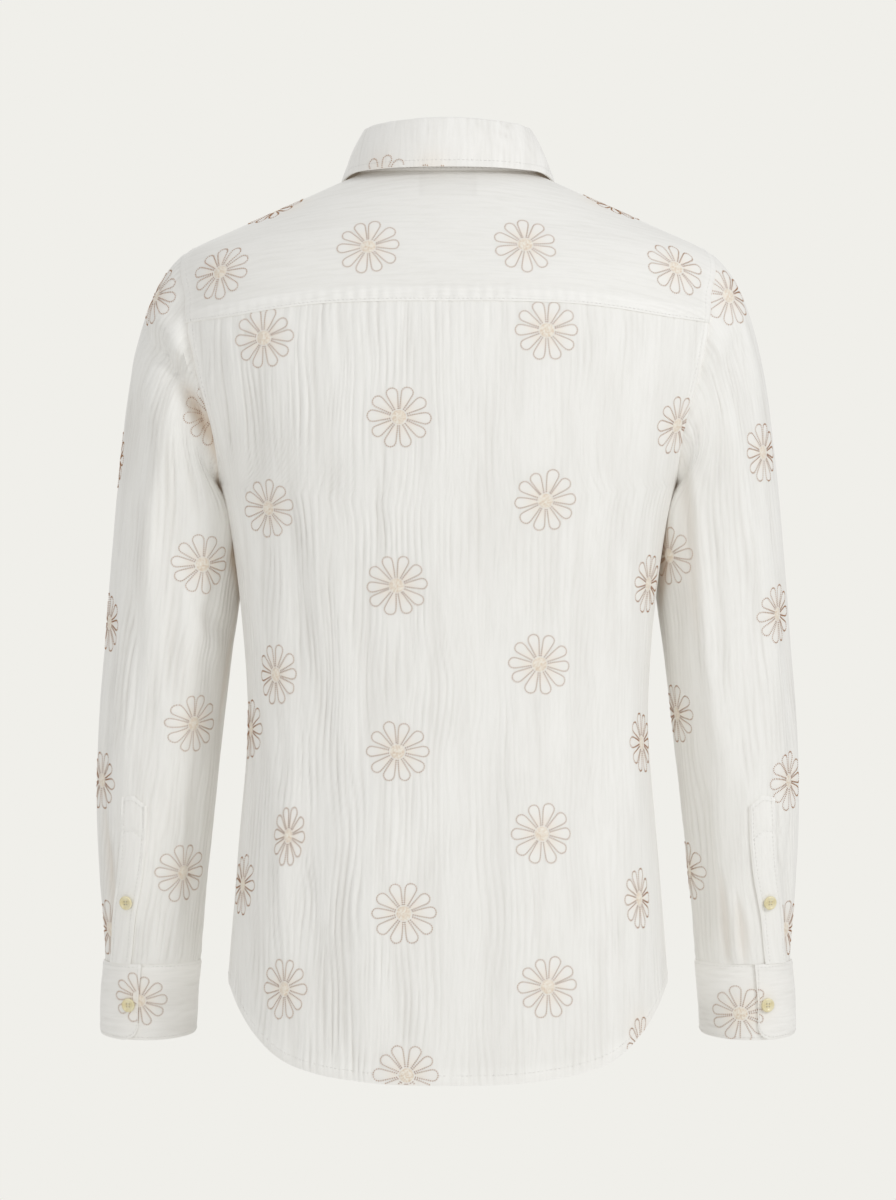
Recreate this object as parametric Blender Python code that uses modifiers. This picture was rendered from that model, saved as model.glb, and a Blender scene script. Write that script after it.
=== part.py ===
"""A long-sleeved cotton shirt in the hollow form that it has on a wearer, in metres.

+Z is up, the wearer faces -Y and the wearer's left is +X. The origin is the middle of the neck
between the two shoulders' high points, where the wearer's shoulders carry the shirt.
Angles run round the body from the wearer's left side: 90 is the back, -90 the front.
"""

import math
from collections import namedtuple

import bmesh
import bpy
import numpy as np
from mathutils import Matrix, Vector

# Walls and gaps
CLOTH = 0.0012
FOLDED_CLOTH = 0.0016
STIFFENED_CLOTH = 0.0020
SEAM_GAP = 0.0003

# Body levels
SIDE_HEM = -0.626
BACK_TAIL = -0.693
FRONT_TAIL = -0.686
UNDERARM = -0.238
SHOULDER_TIP = -0.058
BACK_YOKE_MIDDLE = -0.1045
NECK_SIDE = 0.002
NECK_BACK = -0.001
NECK_FRONT = -0.062

# Armhole, an oval in side view
ARMHOLE_MIDDLE_Y = -0.004
ARMHOLE_HALF_DEPTH = 0.056
ARMHOLE_POWER = 2.3
BACK_YOKE_TURN = 70.0
FRONT_YOKE_TURN = -50.0
YOKE_NECK_ANGLE = -28.0

# Share of the way from a panel's middle to its side, and how far the edge has dropped there
EdgePoint = namedtuple("EdgePoint", "share drop")
HEM = (
    EdgePoint(-0.35, 0.96),
    EdgePoint(0.00, 1.00),
    EdgePoint(0.35, 0.96),
    EdgePoint(0.50, 0.887),
    EdgePoint(0.60, 0.78),
    EdgePoint(0.66, 0.66),
    EdgePoint(0.725, 0.478),
    EdgePoint(0.79, 0.28),
    EdgePoint(0.89, 0.04),
    EdgePoint(1.00, 0.00),
)
YOKE_SEAM = (
    EdgePoint(-0.40, 0.03),
    EdgePoint(0.00, 0.00),
    EdgePoint(0.40, 0.03),
    EdgePoint(0.58, 0.14),
    EdgePoint(0.70, 0.37),
    EdgePoint(0.85, 0.78),
    EdgePoint(1.00, 1.00),
)

BOTTOM_CURVE_FADE = 2.5

# Front closure
BAND_HALF_WIDTH = 0.015
BAND_STEP = 0.0022
BAND_BLEND = 0.060
FRONT_BUTTONS = 7
TOP_BUTTON = -0.100
BUTTON_PITCH = 0.083
BUTTON_RADIUS = 0.0055
BUTTON_THICKNESS = 0.0022

# Sleeve and cuff levels
BICEP = -0.275
CUFF_TOP = -0.6137
CUFF_BOTTOM = -0.670
SLEEVE_CLEARANCE = 0.0032
SLIT_TOP = -0.512
SLIT_FAR_TURN = 85.5
PLACKET_WIDTH = 0.022
PLACKET_PEAK = -0.481
PLACKET_CHAMFER = 0.0085
PLACKET_BUTTON_TURN, PLACKET_BUTTON_Z = 66.0, -0.565
BINDING_WIDTH = 0.016
CUFF_OVER_END = 81.0
CUFF_UNDER_END = 50.0
CUFF_CORNER = 0.012
CUFF_STEP = 0.0014
CUFF_BUTTON_TURN, CUFF_BUTTON_Z = 70.5, -0.646

# Collar
STAND_TOP_SIDE = 0.033
STAND_TOP_BACK = 0.036
STAND_TOP_FRONT = -0.036
STAND_TOP_HALF_WIDTH = 0.0605
STAND_TOP_BACK_REACH = 0.054
STAND_TOP_FRONT_REACH = 0.060
STAND_LAP = 0.013
COLLAR_ROLL = 0.0026
COLLAR_WALL = 0.0016
COLLAR_LIFT = 0.0034
COLLAR_BOW = 0.0022
LEAF_END_COLUMN = 2

LABEL_HALF_ANGLE = 21.0
LABEL_TOP = -0.0045
LABEL_BOTTOM = -0.0240
LABEL_TAPE = 0.0008
LABEL_INSET = 0.0022

TorsoSection = namedtuple("TorsoSection", "z half_width back front power")
TORSO = (
    TorsoSection(-0.730, 0.1735, 0.1190, 0.1120, 2.30),
    TorsoSection(-0.630, 0.1705, 0.1170, 0.1100, 2.30),
    TorsoSection(-0.530, 0.1632, 0.1115, 0.1080, 2.30),
    TorsoSection(-0.415, 0.1553, 0.1020, 0.1080, 2.30),
    TorsoSection(-0.329, 0.1612, 0.1060, 0.1140, 2.30),
    TorsoSection(-0.250, 0.1740, 0.1150, 0.1200, 2.30),
    TorsoSection(-0.200, 0.1900, 0.1190, 0.1180, 2.30),
    TorsoSection(-0.150, 0.2090, 0.1190, 0.1090, 2.25),
    TorsoSection(-0.100, 0.2170, 0.1130, 0.0940, 2.15),
    TorsoSection(-0.058, 0.2010, 0.0990, 0.0690, 2.05),
    TorsoSection(-0.040, 0.1625, 0.0900, 0.0570, 2.00),
    TorsoSection(-0.017, 0.1110, 0.0760, 0.0420, 2.00),
    TorsoSection(-0.003, 0.0800, 0.0640, 0.0330, 2.00),
    TorsoSection(0.002, 0.0690, 0.0590, 0.0300, 2.00),
    TorsoSection(0.012, 0.0480, 0.0480, 0.0240, 2.00),
)

SleeveSection = namedtuple("SleeveSection", "z inner outer middle_y half_depth")
SLEEVE = (
    SleeveSection(-0.275, 0.1590, 0.2620, -0.028, 0.0640),
    SleeveSection(-0.329, 0.1648, 0.2667, -0.030, 0.0610),
    SleeveSection(-0.368, 0.1703, 0.2697, -0.032, 0.0585),
    SleeveSection(-0.415, 0.1759, 0.2738, -0.034, 0.0560),
    SleeveSection(-0.485, 0.1840, 0.2765, -0.038, 0.0520),
    SleeveSection(-0.555, 0.1915, 0.2738, -0.043, 0.0470),
    SleeveSection(-0.6137, 0.1972, 0.2706, -0.048, 0.0410),
    SleeveSection(-0.640, 0.1995, 0.2730, -0.050, 0.0395),
    SleeveSection(-0.670, 0.2012, 0.2735, -0.052, 0.0385),
)

# How each line of the sleeve leaves the armhole: at the shoulder, at the back and front, underarm
CapLine = namedtuple("CapLine", "out down first_pull last_pull")
CAP_TOP = CapLine(0.84, 0.54, 0.046, 0.120)
CAP_SIDE = CapLine(0.55, 0.83, 0.040, 0.050)
CAP_UNDER = CapLine(0.97, 0.24, 0.013, 0.014)

LeafEdge = namedtuple("LeafEdge", "along angle reach z")
LEAF_EDGE = (
    LeafEdge(0.00, 90.0, 0.0715, 0.0017),
    LeafEdge(0.25, 46.0, 0.0780, 0.0010),
    LeafEdge(0.50, 2.5, 0.0805, -0.0002),
    LeafEdge(0.65, -20.0, 0.0860, -0.0150),
    LeafEdge(0.80, -40.0, 0.0945, -0.0430),
    LeafEdge(1.00, -60.0, 0.1130, -0.0960),
)

# The placket's free edge and the near edge of the slit under it, as turns round the sleeve
SlitRow = namedtuple("SlitRow", "z free_edge near_edge")
SLIT = (
    SlitRow(-0.490, 86.0, 84.5),
    SlitRow(-0.512, 86.0, 84.3),
    SlitRow(-0.545, 82.5, 79.5),
    SlitRow(-0.580, 73.5, 70.0),
    SlitRow(-0.6137, 67.6, 64.0),
)

# Soft folds that the hanging cloth takes: a ridge where the height is positive
TorsoFold = namedtuple("TorsoFold", "angle low high spread height")
TORSO_FOLDS = (
    TorsoFold(26, -0.68, -0.25, 7, 0.0040),
    TorsoFold(42, -0.66, -0.30, 6, -0.0030),
    TorsoFold(63, -0.70, -0.42, 7, 0.0025),
    TorsoFold(118, -0.70, -0.38, 8, 0.0028),
    TorsoFold(139, -0.64, -0.28, 6, -0.0034),
    TorsoFold(155, -0.67, -0.25, 7, 0.0042),
    TorsoFold(-28, -0.66, -0.25, 8, 0.0045),
    TorsoFold(-52, -0.68, -0.30, 7, -0.0035),
    TorsoFold(-128, -0.68, -0.31, 8, -0.0035),
    TorsoFold(-152, -0.66, -0.25, 7, 0.0045),
)
SleeveFold = namedtuple("SleeveFold", "turn low high spread height lean")
SLEEVE_FOLDS = (
    SleeveFold(70, -0.36, -0.15, 13, 0.0045, 120),
    SleeveFold(112, -0.50, -0.24, 12, 0.0040, 40),
    SleeveFold(28, -0.52, -0.30, 12, -0.0030, -30),
    SleeveFold(140, -0.60, -0.44, 13, -0.0030, -40),
    SleeveFold(-55, -0.52, -0.22, 14, 0.0045, -60),
    SleeveFold(-120, -0.58, -0.36, 13, -0.0035, 30),
    SleeveFold(-20, -0.60, -0.47, 12, 0.0030, 0),
)

# Where the grids have their rows and columns
SIDE_LEVELS = (-0.626, -0.600, -0.562, -0.512, -0.457, -0.402, -0.350, -0.306, -0.268, -0.238)
BACK_TURNS = (180, 165, 150, 135, 120, 103, 86, 70)
YOKE_TURNS = (70, 58, 46, 34, 23, 12, 1, -8, -17, -26, -34, -42, -50)
FRONT_TURNS = (-180, -170, -153, -132, -113, -92, -71, -50)
YOKE_SEAM_COLUMNS = 10
NECK_COLUMNS = 5
YOKE_NECK_ROWS = 7
YOKE_BACK_ROWS = 5
CAP_SHARES = (0.0, 0.07, 0.15, 0.25, 0.37, 0.51, 0.67, 0.84)
SLEEVE_LEVELS = (
    -0.275, -0.306, -0.345, -0.390, -0.438, -0.485, -0.512, -0.545, -0.580, -0.6137
)

COLOURS = {
    "cotton": (0.86, 0.85, 0.82),
    "stiffened_cotton": (0.88, 0.87, 0.84),
    "shell_button": (0.80, 0.75, 0.58),
    "label_tape": (0.80, 0.80, 0.77),
}
ROUGHNESS = {
    "cotton": 0.90,
    "stiffened_cotton": 0.88,
    "shell_button": 0.35,
    "label_tape": 0.70,
}


def unit(vectors):
    return vectors / np.linalg.norm(vectors, axis=-1, keepdims=True)


def ease(x):
    """0 to 1 as x goes from 0 to 1, level at both ends."""
    x = np.clip(x, 0.0, 1.0)
    return x * x * (3 - 2 * x)


def through(knots, values, x):
    """A smooth curve through the values at the knots, read at x."""
    knots, values = np.asarray(knots, float), np.asarray(values, float)
    slopes = np.gradient(values, knots)
    i = np.clip(np.searchsorted(knots, x) - 1, 0, len(knots) - 2)
    step = knots[i + 1] - knots[i]
    t = (x - knots[i]) / step
    start, end = values[i], values[i + 1]
    return (
        start * (1 + 2 * t) * (1 - t) ** 2
        + end * t * t * (3 - 2 * t)
        + slopes[i] * step * t * (1 - t) ** 2
        - slopes[i + 1] * step * t * t * (1 - t)
    )


def read(table, name, knot, x):
    """One column of a table, as a smooth curve over the knot column."""
    rows = sorted(table, key=lambda row: getattr(row, knot))
    return through([getattr(r, knot) for r in rows], [getattr(r, name) for r in rows], x)


def torso_radius(angle, z):
    """The body's distance from the upright axis. Each level is a rounded oval."""
    across, along = np.cos(angle), np.sin(angle)
    width = read(TORSO, "half_width", "z", z)
    depth = np.where(along >= 0, read(TORSO, "back", "z", z), read(TORSO, "front", "z", z))
    power = read(TORSO, "power", "z", z)
    return (np.abs(across / width) ** power + np.abs(along / depth) ** power) ** (-1 / power)


def torso_fold(angle, z):
    """How far the hanging folds stand out of the body's smooth form."""
    degrees = np.degrees(angle)
    out = np.zeros_like(degrees + z)
    for fold in TORSO_FOLDS:
        away = (degrees - fold.angle + 180) % 360 - 180
        middle, half = (fold.low + fold.high) / 2, (fold.high - fold.low) / 2
        out = out + fold.height * np.exp(-((away / fold.spread) ** 2)) * ease(
            1.6 * (1 - np.abs(z - middle) / half)
        )
    return out


def torso(angle, z):
    """A point of the body's cloth."""
    angle, z = np.broadcast_arrays(np.asarray(angle, float), np.asarray(z, float))
    radius = torso_radius(angle, z) + torso_fold(angle, z)
    return np.stack([radius * np.cos(angle), radius * np.sin(angle), z], axis=-1)


def torso_side(y, z):
    """How far out the body's side is, at a depth y."""
    depth = np.where(y >= 0, read(TORSO, "back", "z", z), read(TORSO, "front", "z", z))
    power = read(TORSO, "power", "z", z)
    inside = np.clip(1 - np.abs(y / depth) ** power, 0.0, 1.0)
    return read(TORSO, "half_width", "z", z) * inside ** (1 / power)


def armhole(turns):
    """(angle, z) on the body along the left armhole: 0 is its top, 90 the back, 180 underarm."""
    turn = np.radians(turns)
    up, back = np.cos(turn), np.sin(turn)
    size = (np.abs(up) ** ARMHOLE_POWER + np.abs(back) ** ARMHOLE_POWER) ** (-1 / ARMHOLE_POWER)
    z = (SHOULDER_TIP + UNDERARM) / 2 + (SHOULDER_TIP - UNDERARM) / 2 * size * up
    y = ARMHOLE_MIDDLE_Y * np.abs(back) + ARMHOLE_HALF_DEPTH * size * back
    return np.stack([np.arctan2(y, torso_side(y, z)), z], axis=-1)


def neckline(angle):
    """(angle, z) on the body along the neckline."""
    along = np.sin(angle)
    drop = np.where(along >= 0, NECK_SIDE - NECK_BACK, NECK_SIDE - NECK_FRONT)
    return np.stack([angle, NECK_SIDE - drop * along**2], axis=-1)


def front_edge(z):
    """(angle, z) on the body along the fronts' inner edge, beside the closing bands."""
    width, depth = read(TORSO, "half_width", "z", z), read(TORSO, "front", "z", z)
    power = read(TORSO, "power", "z", z)
    y = -depth * (1 - (BAND_HALF_WIDTH / width) ** power) ** (1 / power)
    return np.stack([np.arctan2(y, BAND_HALF_WIDTH + 0 * z), z], axis=-1)


def front_edge_top():
    """The level at which the fronts' inner edge reaches the neckline."""
    low, high = NECK_FRONT - 0.01, NECK_SIDE
    for _ in range(40):
        middle = (low + high) / 2
        angle = front_edge(np.array(middle))[0]
        low, high = (middle, high) if neckline(angle)[1] > middle else (low, middle)
    return low


def between(start, end, count):
    """count + 1 points in a straight line."""
    share = np.linspace(0, 1, count + 1)[:, None]
    return np.asarray(start) * (1 - share) + np.asarray(end) * share


def hem(start_angle, tail, shares):
    """(angle, z) from the middle of a panel to its side: a tail that curves up to the side seam."""
    drop = (SIDE_HEM - tail) * read(HEM, "drop", "share", shares)
    return np.stack([start_angle * (1 - shares), SIDE_HEM - drop], axis=-1)


def patch(bottom, top, left, right, rows, columns):
    """Fills a four-sided stretch of the body between its edges, each given as (angle, z).

    The bottom edge's own curve fades out faster than the other edges' curves.
    """
    v, u = rows[:, None, None], columns[None, :, None]
    across = (1 - u) * left[:, None] + u * right[:, None]
    bottom_curve = bottom - ((1 - u) * bottom[0] + u * bottom[-1])
    top_curve = top - ((1 - u) * top[0] + u * top[-1])
    return across + (1 - v) ** BOTTOM_CURVE_FADE * bottom_curve + v * top_curve


def side_line(turns):
    """(angle, z) up the side seam and then round the armhole, and each row's share of the way."""
    seam = np.array([(0.0, z) for z in SIDE_LEVELS])
    line = np.concatenate([seam, armhole(np.array(turns[1:], float))])
    steps = np.linalg.norm(np.diff(on_torso(line), axis=0), axis=-1)
    rows = np.concatenate([[0], np.cumsum(steps)])
    return line, rows / rows[-1]


def back_yoke_seam():
    """The seam is level over the middle of the back and drops near the armhole."""
    end = armhole(BACK_YOKE_TURN)
    seam = between((math.pi / 2, BACK_YOKE_MIDDLE), end, YOKE_SEAM_COLUMNS)
    shares = np.linspace(0, 1, YOKE_SEAM_COLUMNS + 1)
    drop = read(YOKE_SEAM, "drop", "share", shares)
    seam[:, 1] = BACK_YOKE_MIDDLE + (end[1] - BACK_YOKE_MIDDLE) * drop
    return seam


def front_yoke_seam():
    neck = neckline(np.radians(YOKE_NECK_ANGLE))
    return between(neck, armhole(FRONT_YOKE_TURN), YOKE_SEAM_COLUMNS)


def back_map():
    """The left half of the back, as (angle, z)."""
    right, rows = side_line(BACK_TURNS)
    columns = np.linspace(0, 1, YOKE_SEAM_COLUMNS + 1)
    left = np.stack([0 * rows + math.pi / 2, BACK_TAIL + (BACK_YOKE_MIDDLE - BACK_TAIL) * rows], -1)
    bottom = hem(math.pi / 2, BACK_TAIL, columns)
    return patch(bottom, back_yoke_seam(), left, right, rows, columns)


def front_map():
    """The left front, as (angle, z), from its inner edge to the side."""
    right, rows = side_line(FRONT_TURNS)
    top_level = front_edge_top()
    left = front_edge(FRONT_TAIL + (top_level - FRONT_TAIL) * rows)
    neck = neckline(np.linspace(left[-1, 0], np.radians(YOKE_NECK_ANGLE), NECK_COLUMNS + 1))
    top = np.concatenate([neck, front_yoke_seam()[1:]])
    columns = np.concatenate(
        [np.linspace(0, 0.30, NECK_COLUMNS + 1), np.linspace(0.30, 1, YOKE_SEAM_COLUMNS + 1)[1:]]
    )
    bottom = hem(left[0, 0], FRONT_TAIL, columns)
    return patch(bottom, top, left, right, rows, columns)


def yoke_map():
    """The left half of the yoke, as (angle, z), from the back seam over the shoulder."""
    back = between((math.pi / 2, BACK_YOKE_MIDDLE), neckline(math.pi / 2), YOKE_BACK_ROWS)
    neck = neckline(np.linspace(math.pi / 2, np.radians(YOKE_NECK_ANGLE), YOKE_NECK_ROWS + 1))
    left = np.concatenate([back, neck[1:]])
    right = armhole(np.array(YOKE_TURNS, float))
    rows = np.linspace(0, 1, len(YOKE_TURNS))
    columns = np.linspace(0, 1, YOKE_SEAM_COLUMNS + 1)
    return patch(back_yoke_seam(), front_yoke_seam(), left, right, rows, columns)


def mirrored(places):
    """The same stretch on the wearer's right."""
    return np.stack([math.pi - places[..., 0], places[..., 1]], axis=-1)


def on_torso(places):
    return torso(places[..., 0], places[..., 1])


class Sheet:
    """A panel of cloth: a grid of points on its middle surface, drawn back at its seams."""

    def __init__(self, points, wall):
        self.points = np.array(points, float)
        self.wall = wall
        self.moves = {}

    def draw_back(self, side, place, move):
        total, count = self.moves.setdefault(
            side, (np.zeros_like(self.points), np.zeros(self.points.shape[:2] + (1,)))
        )
        np.add.at(total, place, move)
        np.add.at(count, place, 1.0)

    def settled(self):
        points = self.points.copy()
        for total, count in self.moves.values():
            points += total / np.maximum(count, 1)
        return points


def line(rows, columns):
    """Index arrays for a run of grid points."""
    rows, columns = np.broadcast_arrays(np.atleast_1d(rows), np.atleast_1d(columns))
    return rows.copy(), columns.copy()


def sew(first, first_side, first_edge, first_next, second, second_side, second_edge, second_next):
    """Draws both edges of a seam back until the two walls stand SEAM_GAP apart, also at a bend."""
    seam = unit(np.gradient(first.points[first_edge], axis=0))
    into_first = unit(first.points[first_next] - first.points[first_edge])
    into_second = unit(second.points[second_next] - second.points[second_edge])
    square_first = into_first - seam * (into_first * seam).sum(-1, keepdims=True)
    square_second = into_second - seam * (into_second * seam).sum(-1, keepdims=True)
    between_them = (unit(square_first) * unit(square_second)).sum(-1, keepdims=True)
    half_bend = np.arccos(np.clip(-between_them, -0.8, 1.0)) / 2
    wall = max(first.wall, second.wall)
    back = (SEAM_GAP / 2 + wall / 2 * np.sin(half_bend)) / np.cos(half_bend)
    for sheet, side, edge, into, square in (
        (first, first_side, first_edge, into_first, square_first),
        (second, second_side, second_edge, into_second, square_second),
    ):
        slant = np.linalg.norm(square, axis=-1, keepdims=True)
        sheet.draw_back(side, edge, into * back / np.maximum(slant, 0.35))


def sleeve_ring(turns, z):
    """A level of the left sleeve below the armhole, kept clear of the body."""
    turn = np.radians(turns)
    inner, outer = read(SLEEVE, "inner", "z", z), read(SLEEVE, "outer", "z", z)
    x = (inner + outer) / 2 + (outer - inner) / 2 * np.cos(turn)
    y = read(SLEEVE, "middle_y", "z", z) + read(SLEEVE, "half_depth", "z", z) * np.sin(turn)
    return np.stack(np.broadcast_arrays(x, y, z), axis=-1)


def cap_share(turns, name):
    """A cap line's value at each turn, from the three that are given."""
    turn = np.radians(turns)
    top, under = np.maximum(np.cos(turn), 0) ** 2, np.maximum(-np.cos(turn), 0) ** 2
    side = np.sin(turn) ** 2
    values = [getattr(cap, name) for cap in (CAP_TOP, CAP_SIDE, CAP_UNDER)]
    return (top * values[0] + side * values[1] + under * values[2])[..., None]


def sleeve_cap(turns, shares):
    """The sleeve from the armhole to the level BICEP: each line leaves the seam and bends down."""
    start = on_torso(armhole(turns))
    end = sleeve_ring(turns, BICEP + 0 * turns)
    step = 0.01
    arriving = unit(end - sleeve_ring(turns, BICEP - step + 0 * turns))
    leaving = np.concatenate(
        [cap_share(turns, "out"), 0 * turns[:, None], -cap_share(turns, "down")], axis=-1
    )
    first = start + unit(leaving) * cap_share(turns, "first_pull")
    last = end + arriving * cap_share(turns, "last_pull")
    t = np.asarray(shares)[:, None, None]
    return (
        (1 - t) ** 3 * start
        + 3 * (1 - t) ** 2 * t * first
        + 3 * (1 - t) * t**2 * last
        + t**3 * end
    )


def off_the_body(points):
    """Pushes the sleeve's cloth out to where it just clears the body's side."""
    x, y, z = points[..., 0], points[..., 1], points[..., 2]
    below = ease((UNDERARM + 0.012 - z) / 0.03)
    limit = torso_side(y, z) + SLEEVE_CLEARANCE * below
    soft = 0.004
    pushed = limit + soft * np.logaddexp(0, (x - limit) / soft)
    near = ease((0.03 - (x - limit)) / 0.01) * below
    moved = points.copy()
    moved[..., 0] = x * (1 - near) + np.maximum(pushed, x) * near
    return moved


def sleeve_fold(turns, z):
    out = np.zeros(np.broadcast(turns, z).shape)
    for fold in SLEEVE_FOLDS:
        middle, half = (fold.low + fold.high) / 2, (fold.high - fold.low) / 2
        away = (turns - fold.turn - fold.lean * (z - middle) + 180) % 360 - 180
        out += fold.height * np.exp(-((away / fold.spread) ** 2)) * ease(
            1.6 * (1 - np.abs(z - middle) / half)
        )
    return out


def grid_normals(points, wrap):
    """The outward direction at each grid point of a tube or panel."""
    if wrap:
        ring = points[:, :-1]
        across = np.roll(ring, -1, axis=1) - np.roll(ring, 1, axis=1)
        across = np.concatenate([across, across[:, :1]], axis=1)
    else:
        across = np.gradient(points, axis=1)
    return unit(np.cross(across, np.gradient(points, axis=0)))


def slit_turns(turns, level):
    """The columns at a level: near the cuff two of them part along the slit's two edges."""
    down = float(ease((SLIT_TOP + 0.030 - level) / 0.030))
    near, far = (np.argmin(np.abs(turns - turn)) for turn in (70, 86))
    near_edge = read(SLIT, "near_edge", "z", np.array(max(level, CUFF_TOP)))
    shift = (near_edge - turns[near]) * np.clip((turns + 50) / (turns[near] + 50), 0, 1)
    moved = turns + down * np.where(turns <= turns[near] + 1, shift, 0)
    moved[far] += down * (SLIT_FAR_TURN - turns[far])
    return moved


def sleeve_grid(turns, shares, levels):
    """The left sleeve from armhole to cuff. Rows go down it and columns round it."""
    lower_turns = np.array([slit_turns(turns, level) for level in levels])
    lower = [sleeve_ring(row, level + 0 * row) for row, level in zip(lower_turns, levels)]
    points = off_the_body(np.concatenate([sleeve_cap(turns, shares), np.array(lower)]))
    points[0] = on_torso(armhole(turns))
    every_turn = np.concatenate([np.tile(turns, (len(shares), 1)), lower_turns])
    rows = np.arange(len(points))[:, None]
    fold = sleeve_fold(every_turn, points[..., 2]) * ease((rows - 1.0) / 4)
    return points + grid_normals(points, True) * fold[..., None]


def sleeve_turns():
    """Columns round the sleeve: they meet the back's, yoke's and front's points at the armhole."""
    front = [turn for turn in reversed(FRONT_TURNS)]
    return np.array(list(BACK_TURNS) + list(YOKE_TURNS[1:]) + front[1:], float)


def material(name):
    made = bpy.data.materials.get(name) or bpy.data.materials.new(name)
    made.use_nodes = True
    shader = made.node_tree.nodes["Principled BSDF"]
    shader.inputs["Base Color"].default_value = (*COLOURS[name], 1.0)
    shader.inputs["Roughness"].default_value = ROUGHNESS[name]
    shader.inputs["Metallic"].default_value = 0.0
    return made


def new_object(name, bm, finish):
    mesh = bpy.data.meshes.new(name)
    bmesh.ops.recalc_face_normals(bm, faces=bm.faces)
    bm.to_mesh(mesh)
    bm.free()
    mesh.shade_smooth()
    mesh.materials.append(material(finish))
    made = bpy.data.objects.new(name, mesh)
    collection.objects.link(made)
    return made


def loft(name, grids, wall, finish, left_out=None, weld=False):
    """An open sheet through one or more grids of points, given its thickness by Solidify.

    left_out(row, column) names grid faces that a slit or an opening leaves away.
    """
    bm = bmesh.new()
    for grid in grids:
        rows, columns = grid.shape[:2]
        points = [[bm.verts.new(p) for p in row] for row in grid]
        for r in range(rows - 1):
            for c in range(columns - 1):
                if left_out and left_out(r, c):
                    continue
                bm.faces.new(
                    (points[r][c], points[r][c + 1], points[r + 1][c + 1], points[r + 1][c])
                )
    if weld:
        bmesh.ops.remove_doubles(bm, verts=bm.verts, dist=1e-6)
    loose = [v for v in bm.verts if not v.link_faces]
    bmesh.ops.delete(bm, geom=loose, context="VERTS")
    made = new_object(name, bm, finish)
    shell = made.modifiers.new("Wall", "SOLIDIFY")
    shell.thickness = wall
    shell.offset = 0.0
    shell.use_quality_normals = True
    return made


def body_sheets():
    """The back, the yoke's two halves and the two fronts, as grids that share their seam points."""
    back, yoke, front = back_map(), yoke_map(), front_map()
    front_left = on_torso(front)
    front_right = on_torso(mirrored(front))
    # The right front rides up to lie over the left one at the middle.
    from_edge = np.linalg.norm(front_right - front_right[:, :1], axis=-1)
    normals = -grid_normals(front_right, False)
    front_right += normals * (BAND_STEP * (1 - ease(from_edge / BAND_BLEND)))[..., None]
    return {
        "back_left": Sheet(on_torso(back), CLOTH),
        "back_right": Sheet(on_torso(mirrored(back)), CLOTH),
        "yoke_left": Sheet(on_torso(yoke), CLOTH),
        "yoke_right": Sheet(on_torso(mirrored(yoke)), CLOTH),
        "front_left": Sheet(front_left, CLOTH),
        "front_right": Sheet(front_right, CLOTH),
    }


def band_grids(sheets):
    """The button band on the base surface and the buttonhole band a step outside it."""
    levels = sheets["front_left"].points[:, 0, 2]
    shares = np.linspace(-1, 1, 4)
    x = BAND_HALF_WIDTH * shares[None, :] + 0 * levels[:, None]
    z = levels[:, None] + 0 * x
    y = -read(TORSO, "front", "z", z) * (
        1 - np.abs(x / read(TORSO, "half_width", "z", z)) ** read(TORSO, "power", "z", z)
    ) ** (1 / read(TORSO, "power", "z", z))
    under = np.stack([x, y, z], axis=-1)
    under[:, -1] = sheets["front_left"].points[:, 0]
    under[:, 0] = under[:, -1] * (-1, 1, 1)
    normals = grid_normals(under, False)
    normals *= np.sign(-normals[:1, :1, 1:2])
    over = under + normals * BAND_STEP
    over[:, 0] = sheets["front_right"].points[:, 0]
    return Sheet(under, FOLDED_CLOTH), Sheet(over, FOLDED_CLOTH)


def stand_top(angle):
    """The collar stand's upper edge, on which the leaf folds over."""
    across, along = np.cos(angle), np.sin(angle)
    depth = np.where(along >= 0, STAND_TOP_BACK_REACH, STAND_TOP_FRONT_REACH)
    radius = ((across / STAND_TOP_HALF_WIDTH) ** 2 + (along / depth) ** 2) ** -0.5
    level = np.where(along >= 0, STAND_TOP_BACK, STAND_TOP_FRONT)
    z = STAND_TOP_SIDE + (level - STAND_TOP_SIDE) * along**2
    return np.stack([radius * across, radius * along, z], axis=-1)


def stand_grid(sheets, under, over):
    """The stand from its under end at the left front, round the neck, to its end on top."""
    neck_rows = slice(YOKE_BACK_ROWS, None)
    foot = np.concatenate(
        [
            under.points[-1],
            sheets["front_left"].points[-1, 1 : NECK_COLUMNS + 1],
            sheets["yoke_left"].points[neck_rows, 0][::-1][1:],
            sheets["yoke_right"].points[neck_rows, 0][1:],
            sheets["front_right"].points[-1, :NECK_COLUMNS][::-1],
            over.points[-1, 1:],
        ]
    )
    first, last = foot[0].copy(), foot[-1].copy()
    foot[0], foot[-1] = first + (0.002, 0, 0), last - (0.002, 0, 0)
    angle = np.arctan2(foot[:, 1], foot[:, 0])
    head = stand_top(angle)
    base = torso_radius(angle, foot[:, 2])
    step = np.linalg.norm(foot[:, :2], axis=-1) - base
    head[:, :2] *= (1 + step / np.linalg.norm(head[:, :2], axis=-1))[:, None]
    share = np.linspace(0, 1, 4)[:, None, None]
    bulge = 0.0015 * np.sin(np.pi * share)
    radial = unit(foot * (1, 1, 0))
    grid = foot * (1 - share) + head * share + radial * bulge
    # The two front ends have rounded upper corners.
    for column, drop in ((0, 0.010), (1, 0.002), (-2, 0.002), (-1, 0.010)):
        grid[1:, column, 2] -= drop * np.array([0.2, 0.6, 1.0])
    return grid


def torso_level(angle, radius):
    """The level at which the shoulders reach a given distance from the upright axis."""
    low, high = 0 * radius - 0.20, 0 * radius + 0.012
    for _ in range(30):
        middle = (low + high) / 2
        outside = torso_radius(angle, middle) > radius
        low, high = np.where(outside, middle, low), np.where(outside, high, middle)
    return low


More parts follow.
